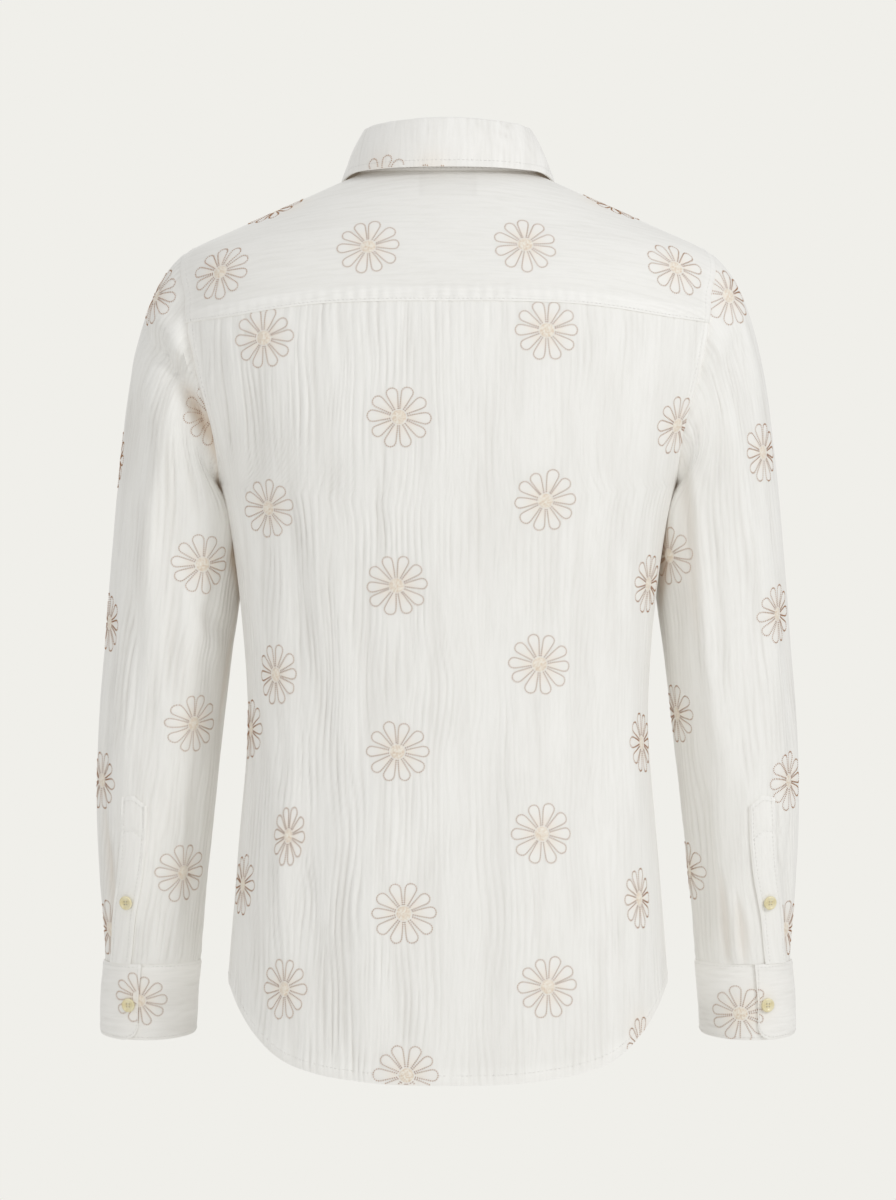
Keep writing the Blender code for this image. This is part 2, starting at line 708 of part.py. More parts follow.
def leaf_grid(stand):
    """The collar leaf: up off the stand, over its roll and down to the free edge."""
    inside = slice(LEAF_END_COLUMN, -LEAF_END_COLUMN)
    fold, below = stand[-1, inside], stand[-2, inside]
    along_fold = unit(np.gradient(fold, axis=0))
    up = unit(fold - below)
    up = unit(up - along_fold * (up * along_fold).sum(-1, keepdims=True))
    out = np.cross(along_fold, up)
    out *= np.sign((out * fold * (1, 1, 0)).sum(-1, keepdims=True))
    run = np.concatenate([[0], np.cumsum(np.linalg.norm(np.diff(fold, axis=0), axis=-1))])
    along = 1 - 2 * run / run[-1]
    edge_angle = np.radians(read(LEAF_EDGE, "angle", "along", np.abs(along)))
    edge_angle = np.where(along >= 0, edge_angle, math.pi - edge_angle)
    reach = read(LEAF_EDGE, "reach", "along", np.abs(along))
    free = read(LEAF_EDGE, "z", "along", np.abs(along))
    free = np.maximum(free, torso_level(edge_angle, reach) + COLLAR_LIFT)
    edge = np.stack([reach * np.cos(edge_angle), reach * np.sin(edge_angle), free], axis=-1)
    centre = fold + up * SEAM_GAP * 1.5 + out * COLLAR_ROLL
    rows = []
    for degrees in (0, 50, 95, 140, 175):
        roll = math.radians(degrees)
        rows.append(centre + COLLAR_ROLL * (up * math.sin(roll) - out * math.cos(roll)))
    start = rows[-1]
    for share in (0.16, 0.36, 0.58, 0.80, 1.0):
        bow = COLLAR_BOW * math.sin(math.pi * share)
        rows.append(start * (1 - share) + edge * share + out * bow)
    return np.array(rows)


def cuff_grid():
    """The left cuff, from its end under the overlap, round the wrist, to its end on top."""
    turns = np.concatenate(
        [np.linspace(CUFF_UNDER_END, 96, 6), np.linspace(96, 384, 20)[1:], np.linspace(384, 446, 9)[1:]]
    )
    turns[-1] = 360 + CUFF_OVER_END
    heights = np.linspace(0, 1, 5)
    step = CUFF_STEP * (2 * ease((turns - 96) / 120) - 1)
    flat = sleeve_ring(turns, CUFF_BOTTOM + 0 * turns)
    run = np.concatenate([[0], np.cumsum(np.linalg.norm(np.diff(flat, axis=0), axis=-1))])
    corner = np.clip(1 - (run[-1] - run) / CUFF_CORNER, 0, 1)
    other = np.clip(1 - run / CUFF_CORNER, 0, 1)
    lift = CUFF_CORNER * (1 - np.sqrt(1 - np.maximum(corner, other) ** 2)) * 0.9
    top = CUFF_TOP - SEAM_GAP / 2
    grid = []
    for height in heights:
        level = top + (CUFF_BOTTOM + lift - top) * height
        ring = sleeve_ring(turns, level)
        grid.append(ring)
    grid = np.array(grid)
    normals = grid_normals(grid, False)
    facing = np.sign(((grid - grid.mean(axis=(0, 1))) * normals * (1, 1, 0)).sum(-1).mean())
    return grid + normals * facing * step[None, :, None]


def sleeve_place(turns, z, offset):
    """Points on the left sleeve's surface, moved out by an offset, and the outward directions."""
    turns, z = np.broadcast_arrays(np.asarray(turns, float), np.asarray(z, float))
    tangent = unit(sleeve_ring(turns + 1, z) - sleeve_ring(turns - 1, z))
    normal = np.stack([tangent[..., 1], -tangent[..., 0], 0 * turns], axis=-1)
    out = offset + sleeve_fold(turns, z)
    return sleeve_ring(turns, z) + normal * out[..., None], normal


def sleeve_button_seat(turn, z, offset):
    """A point off the sleeve for a button, and the direction that it faces."""
    place, level_facing = sleeve_place(turn, z, offset)
    upward = sleeve_place(turn, z + 0.006, offset)[0] - sleeve_place(turn, z - 0.006, offset)[0]
    around = sleeve_place(turn + 7, z, offset)[0] - sleeve_place(turn - 7, z, offset)[0]
    facing = unit(np.cross(around, upward))
    return place, facing * np.sign((facing * level_facing).sum())


def degrees_for(width, z):
    """How far a width reaches round the sleeve, about."""
    across = (read(SLEEVE, "outer", "z", z) - read(SLEEVE, "inner", "z", z)) / 2
    return np.degrees(width / ((across + read(SLEEVE, "half_depth", "z", z)) / 2))


def placket_grid():
    """The over strip of the sleeve placket, with its chamfered top."""
    across = np.linspace(-1, 1, 5)[None, :]
    share = np.array([0.0, 0.10, 0.22, 0.40, 0.58, 0.78, 1.0])[:, None]
    top = PLACKET_PEAK - PLACKET_CHAMFER * np.maximum(across, 0) - 0.0015 * np.maximum(-across, 0)
    z = top + (CUFF_TOP + 2 * SEAM_GAP - top) * share
    turns = read(SLIT, "free_edge", "z", np.maximum(z, CUFF_TOP))
    turns = turns - degrees_for(PLACKET_WIDTH, z) * (1 - across) / 2
    return sleeve_place(turns, z, CLOTH / 2 + SEAM_GAP + FOLDED_CLOTH / 2 + 0.0002)[0]


def binding_grid():
    """The narrow binding on the slit's far edge, under the placket."""
    across = np.linspace(0, 1, 4)[None, :]
    z = np.linspace(SLIT_TOP + 0.003, CUFF_TOP + 2 * SEAM_GAP, 6)[:, None] + 0 * across
    turns = SLIT_FAR_TURN + 4.0 - degrees_for(BINDING_WIDTH, z) * across
    return sleeve_place(turns, z, -(CLOTH + SEAM_GAP + 0.0010))[0]


def label_grid():
    angle = np.radians(np.linspace(90 - LABEL_HALF_ANGLE, 90 + LABEL_HALF_ANGLE, 7))
    z = np.linspace(LABEL_BOTTOM, LABEL_TOP, 4)[:, None]
    points = torso(angle[None, :], z)
    normals = grid_normals(points, False)
    normals *= np.sign(normals[..., 1:2])
    return points - normals * LABEL_INSET


def button(name, place, facing):
    """A dished round button, turned from its profile by Screw, that faces away from the cloth."""
    bm = bmesh.new()
    rim, thick = BUTTON_RADIUS, BUTTON_THICKNESS
    profile = [(0, 0), (rim * 0.9, 0), (rim, thick * 0.4), (rim * 0.93, thick),
               (rim * 0.7, thick), (rim * 0.6, thick * 0.7), (0, thick * 0.7)]
    points = [bm.verts.new((r, 0, h)) for r, h in profile]
    for first, second in zip(points, points[1:]):
        bm.edges.new((first, second))
    mesh = bpy.data.meshes.new(name)
    bm.to_mesh(mesh)
    bm.free()
    mesh.materials.append(material("shell_button"))
    made = bpy.data.objects.new(name, mesh)
    collection.objects.link(made)
    turned = made.modifiers.new("Turned", "SCREW")
    turned.axis = "Z"
    turned.steps = turned.render_steps = 16
    turned.use_merge_vertices = True
    turned.merge_threshold = 0.00005
    turned.use_normal_calculate = True
    turned.use_smooth_shade = True
    turn = Vector(facing).to_track_quat("Z", "Y").to_matrix().to_4x4()
    made.matrix_world = Matrix.Translation(Vector(place)) @ turn
    return made


def build_body():
    sheets = body_sheets()
    under, over = band_grids(sheets)
    sleeve = Sheet(sleeve_grid(sleeve_turns(), CAP_SHARES, SLEEVE_LEVELS), CLOTH)
    stand = Sheet(stand_grid(sheets, under, over), STIFFENED_CLOTH)
    side_rows, back_last = len(SIDE_LEVELS), len(BACK_TURNS) - 1
    yoke_last = back_last + len(YOKE_TURNS) - 1
    sleeve_last = yoke_last + len(FRONT_TURNS) - 1
    for hand in ("left", "right"):
        back, yoke, front = (sheets[f"{name}_{hand}"] for name in ("back", "yoke", "front"))
        seam_columns = np.arange(YOKE_SEAM_COLUMNS + 1)
        side = np.arange(side_rows)
        sew(back, "side", line(side, -1), line(side, -2), front, "side", line(side, -1), line(side, -2))
        sew(back, "top", line(-1, seam_columns), line(-2, seam_columns),
            yoke, "back", line(0, seam_columns), line(1, seam_columns))
        shoulder = seam_columns + NECK_COLUMNS
        sew(front, "top", line(-1, shoulder), line(-2, shoulder),
            yoke, "front", line(-1, seam_columns), line(-2, seam_columns))
        # Armhole: the left sleeve's points stand for both, because the right one is its mirror.
        limb = sleeve if hand == "left" else Sheet(sleeve.points * (-1, 1, 1), CLOTH)
        high = np.arange(side_rows - 1, side_rows + back_last)
        cap = np.arange(back_last + 1)
        sew(back, "armhole", line(high, -1), line(high, -2), limb, "cap", line(0, cap), line(1, cap))
        arch = np.arange(len(YOKE_TURNS))
        cap = arch + back_last
        sew(yoke, "armhole", line(arch, -1), line(arch, -2), limb, "cap", line(0, cap), line(1, cap))
        cap = np.arange(sleeve_last, yoke_last - 1, -1)
        sew(front, "armhole", line(high, -1), line(high, -2), limb, "cap", line(0, cap), line(1, cap))
    # Neckline and closing bands
    bands, fronts, yokes = 3, NECK_COLUMNS, YOKE_NECK_ROWS
    neck_rows = np.arange(YOKE_BACK_ROWS, YOKE_BACK_ROWS + YOKE_NECK_ROWS + 1)
    next_rows, next_columns = neck_rows.copy(), np.ones_like(neck_rows)
    next_rows[0], next_columns[0] = YOKE_BACK_ROWS - 1, 0
    band_columns = np.arange(bands + 1)
    front_columns = np.arange(fronts + 1)
    start = bands
    sew(under, "neck", line(-1, band_columns), line(-2, band_columns),
        stand, "foot", line(0, band_columns), line(1, band_columns))
    run = start + front_columns
    sew(sheets["front_left"], "neck", line(-1, front_columns), line(-2, front_columns),
        stand, "foot", line(0, run), line(1, run))
    run = start + fronts + yokes - np.arange(yokes + 1)
    sew(sheets["yoke_left"], "neck", line(neck_rows, 0), (next_rows, next_columns),
        stand, "foot", line(0, run), line(1, run))
    run = start + fronts + yokes + np.arange(yokes + 1)
    sew(sheets["yoke_right"], "neck", line(neck_rows, 0), (next_rows, next_columns),
        stand, "foot", line(0, run), line(1, run))
    run = start + 2 * fronts + 2 * yokes - front_columns
    sew(sheets["front_right"], "neck", line(-1, front_columns), line(-2, front_columns),
        stand, "foot", line(0, run), line(1, run))
    run = start + 2 * fronts + 2 * yokes + band_columns
    sew(over, "neck", line(-1, band_columns), line(-2, band_columns),
        stand, "foot", line(0, run), line(1, run))
    all_rows = np.arange(len(under.points))
    sew(sheets["front_left"], "inner", line(all_rows, 0), line(all_rows, 1),
        under, "outer", line(all_rows, -1), line(all_rows, -2))
    sew(sheets["front_right"], "inner", line(all_rows, 0), line(all_rows, 1),
        over, "outer", line(all_rows, 0), line(all_rows, 1))
    settled = {name: sheet.settled() for name, sheet in sheets.items()}
    loft("back", [settled["back_left"], settled["back_right"]], CLOTH, "cotton", weld=True)
    loft("yoke", [settled["yoke_left"], settled["yoke_right"]], CLOTH, "cotton", weld=True)
    loft("front_left", [settled["front_left"]], CLOTH, "cotton")
    loft("front_right", [settled["front_right"]], CLOTH, "cotton")
    loft("button_band", [under.settled()], FOLDED_CLOTH, "cotton")
    loft("buttonhole_band", [over.settled()], FOLDED_CLOTH, "cotton")
    collar = stand.settled()
    loft("collar_stand", [collar], STIFFENED_CLOTH, "stiffened_cotton")
    loft("collar_leaf", [leaf_grid(collar)], COLLAR_WALL, "stiffened_cotton")
    loft("neck_label", [label_grid()], LABEL_TAPE, "label_tape")
    return sleeve, over.settled(), collar


def build_sleeves(sleeve):
    turns = sleeve_turns()
    points = sleeve.settled()
    points[0, 0] = points[0, -1] = (points[0, 0] + points[0, -1]) / 2
    points[-1, :, 2] += SEAM_GAP / 2
    slit_column = int(np.argmin(np.abs(turns - 86)))
    slit_row = len(CAP_SHARES) + SLEEVE_LEVELS.index(SLIT_TOP)
    on_placket = CLOTH / 2 + 2 * SEAM_GAP + FOLDED_CLOTH + 0.0005
    on_cuff = CUFF_STEP + STIFFENED_CLOTH / 2 + 2 * SEAM_GAP
    placket_button = sleeve_button_seat(PLACKET_BUTTON_TURN, PLACKET_BUTTON_Z, on_placket)
    cuff_button = sleeve_button_seat(CUFF_BUTTON_TURN, CUFF_BUTTON_Z, on_cuff)
    for hand, side in (("left", 1), ("right", -1)):
        flip = np.array([side, 1, 1])
        loft(
            f"sleeve_{hand}", [points * flip], CLOTH, "cotton",
            left_out=lambda r, c: r >= slit_row and c == slit_column, weld=True,
        )
        loft(f"sleeve_placket_{hand}", [placket_grid() * flip], FOLDED_CLOTH, "cotton")
        loft(f"slit_binding_{hand}", [binding_grid() * flip], CLOTH, "cotton")
        loft(f"cuff_{hand}", [cuff_grid() * flip], STIFFENED_CLOTH, "stiffened_cotton")
        button(f"placket_button_{hand}", placket_button[0] * flip, placket_button[1] * flip)
        button(f"cuff_button_{hand}", cuff_button[0] * flip, cuff_button[1] * flip)


def nearest_facing(grid, z):
    """The point in the middle of a grid at a level, and the direction away from the body there."""
    middle = (grid[:, 1] + grid[:, 2]) / 2
    order = np.argsort(middle[:, 2])
    y = np.interp(z, middle[order, 2], middle[order, 1])
    step = 0.02
    ahead = np.interp(z + step, middle[order, 2], middle[order, 1])
    behind = np.interp(z - step, middle[order, 2], middle[order, 1])
    facing = Vector((0, -2 * step, ahead - behind)).normalized()
    return Vector((0, y, z)), facing


def build_front_buttons(over, collar):
    for number in range(FRONT_BUTTONS):
        place, facing = nearest_facing(over, TOP_BUTTON - number * BUTTON_PITCH)
        place += facing * (FOLDED_CLOTH / 2 + 2 * SEAM_GAP)
        button(f"front_button_{number + 1}", place, facing)
    middle = (collar[1:3, -3] + collar[1:3, -2]).sum(0) / 4
    across = collar[1, -3] - collar[1, -2]
    upward = collar[2, -2] - collar[1, -2]
    facing = Vector(np.cross(across, upward)).normalized()
    if facing.y > 0:
        facing = -facing
    button("stand_button", Vector(middle) + facing * (STIFFENED_CLOTH / 2 + 2 * SEAM_GAP), facing)


def clear_scene():
    for made in list(bpy.data.objects):
        bpy.data.objects.remove(made)


clear_scene()
collection = bpy.data.collections.new("embroidered_shirt")
bpy.context.scene.collection.children.link(collection)
sleeve_sheet, over_band, collar_stand = build_body()
build_sleeves(sleeve_sheet)
build_front_buttons(over_band, collar_stand)
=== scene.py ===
"""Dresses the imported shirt: crinkled gauze, seams, buttons and embroidered daisies, in metres."""

import math
from collections import namedtuple

import bmesh
import bpy
import numpy as np
from mathutils import Matrix, Vector


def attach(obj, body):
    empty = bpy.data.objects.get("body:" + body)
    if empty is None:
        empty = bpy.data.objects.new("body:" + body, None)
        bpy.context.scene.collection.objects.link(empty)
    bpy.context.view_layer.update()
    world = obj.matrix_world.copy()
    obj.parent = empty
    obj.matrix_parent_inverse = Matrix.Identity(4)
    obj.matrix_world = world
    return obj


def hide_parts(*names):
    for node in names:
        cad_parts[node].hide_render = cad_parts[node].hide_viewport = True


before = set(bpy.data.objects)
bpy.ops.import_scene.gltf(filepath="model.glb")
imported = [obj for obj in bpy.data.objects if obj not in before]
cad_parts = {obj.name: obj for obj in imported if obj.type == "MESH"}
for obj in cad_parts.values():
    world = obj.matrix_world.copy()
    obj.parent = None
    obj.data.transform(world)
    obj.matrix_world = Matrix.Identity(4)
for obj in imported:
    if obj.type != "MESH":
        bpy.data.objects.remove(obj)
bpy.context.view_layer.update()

# The form, with the same sizes as the solids
SIDE_HEM = -0.626
BACK_TAIL = -0.693
FRONT_TAIL = -0.686
UNDERARM = -0.238
SHOULDER_TIP = -0.058
BACK_YOKE_MIDDLE = -0.1045
NECK_SIDE = 0.002
NECK_BACK = -0.001
NECK_FRONT = -0.062
ARMHOLE_MIDDLE_Y = -0.004
ARMHOLE_HALF_DEPTH = 0.056
ARMHOLE_POWER = 2.3
BACK_YOKE_TURN = 70.0
FRONT_YOKE_TURN = -50.0
YOKE_NECK_ANGLE = -28.0
BAND_HALF_WIDTH = 0.015
BAND_STEP = 0.0022
BAND_BLEND = 0.060
FRONT_BUTTONS = 7
TOP_BUTTON = -0.100
BUTTON_PITCH = 0.083
BUTTON_RADIUS = 0.0055
BUTTON_THICKNESS = 0.0022
PLACKET_SEAT, CUFF_SEAT, FRONT_SEAT, STAND_SEAT = 0.0033, 0.0016, 0.0014, 0.0016
BOTTOM_CURVE_FADE = 2.5
BICEP = -0.275
CUFF_TOP = -0.6137
CUFF_BOTTOM = -0.670
SLEEVE_CLEARANCE = -0.0010
SLEEVE_LEAN = 0.0035
SLIT_TOP = -0.512
SLIT_FAR_TURN = 85.5
SLIT_READ_TOP = -0.490
SLIT_LAP = 1.5
PLACKET_WIDTH = 0.022
PLACKET_PEAK = -0.481
PLACKET_CHAMFER = 0.0085
PLACKET_BUTTON_TURN, PLACKET_BUTTON_Z = 66.0, -0.565
BINDING_WIDTH = 0.016
CUFF_OVER_END = 81.0
CUFF_UNDER_END = 50.0
CUFF_CORNER = 0.012
CUFF_DIP = 0.0040
CUFF_STEP = 0.0014
CUFF_BUTTON_TURN, CUFF_BUTTON_Z = 70.5, -0.646
STAND_TOP_SIDE = 0.033
STAND_TOP_BACK = 0.036
STAND_TOP_FRONT = -0.036
STAND_TOP_HALF_WIDTH = 0.0605
STAND_TOP_BACK_REACH = 0.054
STAND_TOP_FRONT_REACH = 0.060
STAND_BOW = 0.0015
COLLAR_ROLL = 0.0026
COLLAR_LIFT = 0.0010
COLLAR_BOW = 0.0022
LABEL_HALF_ANGLE = 21.0
LABEL_HALF_WIDTH = 0.0228
LABEL_TOP = -0.0045
LABEL_BOTTOM = -0.0240
LABEL_INSET = 0.0022
PLACKET_OFFSET = 0.0019
BINDING_OFFSET = -0.0012
BINDING_LAP = 4.0
SLEEVE_AXIS = (0.232, -0.04)

# Rows and columns of the panels' grids
SIDE_SAMPLES = 300
BACK_ROWS, BACK_HALF_COLUMNS = 80, 236
FRONT_ROWS, FRONT_NECK_COLUMNS, FRONT_SEAM_COLUMNS = 76, 60, 110
FRONT_NECK_SHARE = 0.30
YOKE_BACK_ROWS, YOKE_NECK_ROWS, YOKE_COLUMNS = 60, 74, 100
SLEEVE_CAP_ROWS, SLEEVE_LOWER_ROWS, SLEEVE_COLUMNS = 30, 52, 260
CUFF_ROWS, CUFF_COLUMNS = 30, 150
PLACKET_ROWS, PLACKET_COLUMNS = 60, 17
BINDING_ROWS, BINDING_COLUMNS = 40, 9
BAND_ROWS, BAND_COLUMNS = 130, 15
FOOT_COLUMNS = 150
STAND_ROWS = 16
ROLL_ROWS, LEAF_ROWS = 9, 27
LABEL_ROWS, LABEL_COLUMNS = 13, 25

TorsoSection = namedtuple("TorsoSection", "z half_width back front power")
TORSO = (
    TorsoSection(-0.730, 0.1735, 0.1190, 0.1120, 2.30),
    TorsoSection(-0.630, 0.1705, 0.1170, 0.1100, 2.30),
    TorsoSection(-0.530, 0.1632, 0.1115, 0.1080, 2.30),
    TorsoSection(-0.415, 0.1553, 0.1020, 0.1080, 2.30),
    TorsoSection(-0.329, 0.1612, 0.1060, 0.1140, 2.30),
    TorsoSection(-0.250, 0.1740, 0.1150, 0.1200, 2.30),
    TorsoSection(-0.200, 0.1900, 0.1190, 0.1180, 2.30),
    TorsoSection(-0.150, 0.2090, 0.1190, 0.1090, 2.25),
    TorsoSection(-0.100, 0.2170, 0.1130, 0.0940, 2.15),
    TorsoSection(-0.058, 0.2010, 0.0990, 0.0690, 2.05),
    TorsoSection(-0.040, 0.1625, 0.0900, 0.0570, 2.00),
    TorsoSection(-0.017, 0.1110, 0.0760, 0.0420, 2.00),
    TorsoSection(-0.003, 0.0800, 0.0640, 0.0330, 2.00),
    TorsoSection(0.002, 0.0690, 0.0590, 0.0300, 2.00),
    TorsoSection(0.012, 0.0480, 0.0480, 0.0240, 2.00),
)

SleeveSection = namedtuple("SleeveSection", "z inner outer middle_y half_depth")
SLEEVE = (
    SleeveSection(-0.275, 0.1590, 0.2620, -0.028, 0.0640),
    SleeveSection(-0.329, 0.1648, 0.2667, -0.030, 0.0610),
    SleeveSection(-0.368, 0.1703, 0.2697, -0.032, 0.0585),
    SleeveSection(-0.415, 0.1759, 0.2738, -0.034, 0.0560),
    SleeveSection(-0.485, 0.1840, 0.2765, -0.038, 0.0520),
    SleeveSection(-0.555, 0.1915, 0.2738, -0.043, 0.0470),
    SleeveSection(-0.6137, 0.1972, 0.2706, -0.048, 0.0410),
    SleeveSection(-0.640, 0.1995, 0.2730, -0.050, 0.0395),
    SleeveSection(-0.670, 0.2012, 0.2735, -0.052, 0.0385),
)

CapLine = namedtuple("CapLine", "out down first_pull last_pull")
CAP_TOP = CapLine(0.84, 0.54, 0.046, 0.120)
CAP_SIDE = CapLine(0.55, 0.83, 0.040, 0.050)
CAP_UNDER = CapLine(0.97, 0.24, 0.013, 0.014)

LeafEdge = namedtuple("LeafEdge", "along angle reach z")
LEAF_EDGE = (
    LeafEdge(0.00, 90.0, 0.0712, 0.0012),
    LeafEdge(0.25, 46.0, 0.0770, 0.0010),
    LeafEdge(0.38, 24.0, 0.0800, 0.0004),
    LeafEdge(0.50, 2.5, 0.0825, -0.0045),
    LeafEdge(0.65, -20.0, 0.0860, -0.0150),
    LeafEdge(0.80, -40.0, 0.0945, -0.0430),
    LeafEdge(1.00, -60.0, 0.1130, -0.0960),
)

SlitRow = namedtuple("SlitRow", "z free_edge near_edge")
SLIT = (
    SlitRow(-0.490, 86.0, 84.5),
    SlitRow(-0.512, 86.0, 84.3),
    SlitRow(-0.545, 82.5, 79.5),
    SlitRow(-0.580, 73.5, 70.0),
    SlitRow(-0.6137, 67.6, 64.0),
)

# Share of the way from a panel's middle to its side, and how far the edge has dropped there
EdgePoint = namedtuple("EdgePoint", "share drop")
HEM = (
    EdgePoint(-0.35, 0.96),
    EdgePoint(0.00, 1.00),
    EdgePoint(0.35, 0.96),
    EdgePoint(0.50, 0.887),
    EdgePoint(0.60, 0.78),
    EdgePoint(0.66, 0.66),
    EdgePoint(0.725, 0.478),
    EdgePoint(0.79, 0.28),
    EdgePoint(0.89, 0.04),
    EdgePoint(1.00, 0.00),
)
YOKE_SEAM = (
    EdgePoint(-0.40, 0.03),
    EdgePoint(0.00, 0.00),
    EdgePoint(0.40, 0.03),
    EdgePoint(0.58, 0.14),
    EdgePoint(0.70, 0.37),
    EdgePoint(0.85, 0.78),
    EdgePoint(1.00, 1.00),
)

# Long folds: a turn round the form in degrees, heights, spread in degrees, and lean
Fold = namedtuple("Fold", "turn low high spread height lean", defaults=(0,))
TORSO_FOLDS = (
    Fold(26, -0.68, -0.25, 7, 0.0040),
    Fold(42, -0.66, -0.30, 6, -0.0030),
    Fold(63, -0.70, -0.42, 7, 0.0025),
    Fold(118, -0.70, -0.38, 8, 0.0028),
    Fold(139, -0.64, -0.28, 6, -0.0034),
    Fold(155, -0.67, -0.25, 7, 0.0042),
    Fold(-28, -0.66, -0.25, 8, 0.0045),
    Fold(-52, -0.68, -0.30, 7, -0.0035),
    Fold(-128, -0.68, -0.31, 8, -0.0035),
    Fold(-152, -0.66, -0.25, 7, 0.0045),
)
SLEEVE_FOLDS = (
    Fold(70, -0.36, -0.15, 13, 0.0045, 120),
    Fold(112, -0.50, -0.24, 12, 0.0040, 40),
    Fold(28, -0.52, -0.30, 12, -0.0030, -30),
    Fold(140, -0.60, -0.44, 13, -0.0030, -40),
    Fold(-55, -0.52, -0.22, 14, 0.0045, -60),
    Fold(-120, -0.58, -0.36, 13, -0.0035, 30),
    Fold(-20, -0.60, -0.47, 12, 0.0030, 0),
)

# The cloth's surface
CAMERA_DISTANCE = 3.0
CAMERA_HEIGHT = -0.329
CAMERA_LENS = 115.4
CRINKLE_HEIGHT = 0.00095
CRINKLE_PITCH = 0.0056
CRINKLE_SLIDE = 0.0030
STEADY_ROWS = 9
BACK_STEADY_ROWS = 3
FOLD_FADE = 1.6
SEAM_ALLOWANCE = 0.0085
ALLOWANCE_RISE = 0.00035
ALLOWANCE_FADE = 0.0022
SEAM_FLAT = 0.004
ALLOWANCE_FLAT = 0.005
SEAM_DIP = 0.00022
SEAM_DIP_WIDTH = 0.0014
TUCK = 0.0035
TUCK_DEPTH = 0.0008
HEM_WIDTH = 0.0075
GATHER_PITCH, GATHER_HEIGHT, GATHER_REACH = 0.0105, 0.0011, 0.020
PUCKER_PITCH, PUCKER_HEIGHT, PUCKER_PLACE = 0.0095, 0.0009, 0.005
WRIST_PITCH, WRIST_HEIGHT, WRIST_REACH = 0.012, 0.0013, 0.022
SEAM_STITCHES = 0.0070
EDGE_STITCHES = 0.0018
CUFF_STITCHES = 0.0022
BAND_STITCHES = 0.0035
LEAF_STITCHES = 0.0050
STAND_STITCHES = 0.0020
PLACKET_STITCHES = 0.0034
PLACKET_BOX = 0.0275
WELD_DISTANCE = 2e-5
SHARP_ANGLE = 58

# Daisies, in millimetres, where they show from behind. Gathered cloth draws some of them in,
# and the middle of some lies hidden, a distance along the cloth above the place that is given.
Daisy = namedtuple("Daisy", "x z turn wide tall above", defaults=(1.0, 0.96, 0.0))
BACK_DAISIES = (
    Daisy(142.7, -127.1, 2), Daisy(-77.2, -119.3, 0), Daisy(38.2, -186.4, 0),
    Daisy(-178.5, -190.5, -4), Daisy(140.4, -254.3, 3), Daisy(-75.7, -251.9, -2),
    Daisy(40.6, -319.0, 1), Daisy(-156.0, -317.5, -3), Daisy(133.0, -384.0, 2, 0.76),
    Daisy(-71.8, -381.4, -3), Daisy(39.8, -447.7, 2), Daisy(154.4, -430.6, 4),
    Daisy(-149.8, -439.9, -3), Daisy(123.2, -510.9, 0, 0.55), Daisy(-72.5, -507.8, -2),
    Daisy(34.3, -574.1, 2), Daisy(160.7, -551.5, 2), Daisy(-149.0, -561.6, 0, 0.60),
    Daisy(127.1, -632.4, 2, 0.80), Daisy(-78.0, -632.6, 0), Daisy(32.0, -699.0, 0),
    Daisy(-150.0, -662.0, 0, 0.60, 0.96, -16.0),
)
YOKE_DAISIES = (
    Daisy(177.6, -73.4, 12, 1.05, 0.88), Daisy(62.4, -53.8, 10), Daisy(-59.3, -51.5, 12),
    Daisy(-178.8, -69.5, -14, 1.05, 0.88), Daisy(119.3, -22.5, 8, 1.0, 0.96, 23.0),
    Daisy(-114.7, -19.5, -6, 1.0, 0.96, 22.0),
)
LEFT_SLEEVE_DAISIES = (
    Daisy(226.2, -93.2, 20), Daisy(253.7, -219.5, 4), Daisy(181.5, -188.0, 10),
    Daisy(191.1, -302.6, 0), Daisy(263.6, -348.7, 0), Daisy(198.9, -425.1, 0),
    Daisy(269.1, -469.6, 0), Daisy(205.9, -543.7, 5), Daisy(263.6, -586.6, 0),
)
RIGHT_SLEEVE_DAISIES = (
    Daisy(-219.6, -92.0, -20), Daisy(-244.9, -213.7, -4), Daisy(-172.5, -295.5, 0),
    Daisy(-256.6, -342.4, 0), Daisy(-178.5, -420.4, 0), Daisy(-264.9, -468.0, 0),
    Daisy(-187.5, -542.5, -5), Daisy(-262.9, -582.7, 0),
)
LEFT_CUFF_DAISIES = (Daisy(240.2, -642.2, 5, 0.86, 0.84),)
RIGHT_CUFF_DAISIES = (Daisy(-227.8, -650.5, -8, 1.0, 0.92),)

# Daisies on the hidden front, where they would show from there: the same half-drop repeat
FRONT_LEFT_DAISIES = (
    Daisy(63, -128, 0), Daisy(63, -250, 2), Daisy(61, -372, -2), Daisy(60, -494, 0),
    Daisy(62, -616, 2), Daisy(140, -190, -3), Daisy(143, -311, 0), Daisy(132, -433, 2),
    Daisy(136, -555, 0),
)
FRONT_RIGHT_DAISIES = (
    Daisy(-52, -160, 0), Daisy(-51, -282, -2), Daisy(-50, -404, 2), Daisy(-50, -526, 0),
    Daisy(-52, -648, 0), Daisy(-130, -110, 4), Daisy(-139, -222, 0), Daisy(-131, -343, -2),
    Daisy(-124, -465, 0), Daisy(-130, -587, 2),
)
LEFT_SLEEVE_FRONT_DAISIES = (
    Daisy(222, -185, 0), Daisy(224, -306, 2), Daisy(232, -428, -2), Daisy(238, -548, 0),
    Daisy(262, -245, 0), Daisy(186, -365, 0), Daisy(196, -487, 0),
)
RIGHT_SLEEVE_FRONT_DAISIES = (
    Daisy(-226, -160, 0), Daisy(-220, -282, 2), Daisy(-230, -404, -2), Daisy(-236, -526, 0),
    Daisy(-262, -221, 0), Daisy(-180, -343, 0), Daisy(-192, -465, 0),
)
LEFT_CUFF_FRONT_DAISIES = (Daisy(218, -645, 0),)
RIGHT_CUFF_FRONT_DAISIES = (Daisy(-250, -640, 0),)

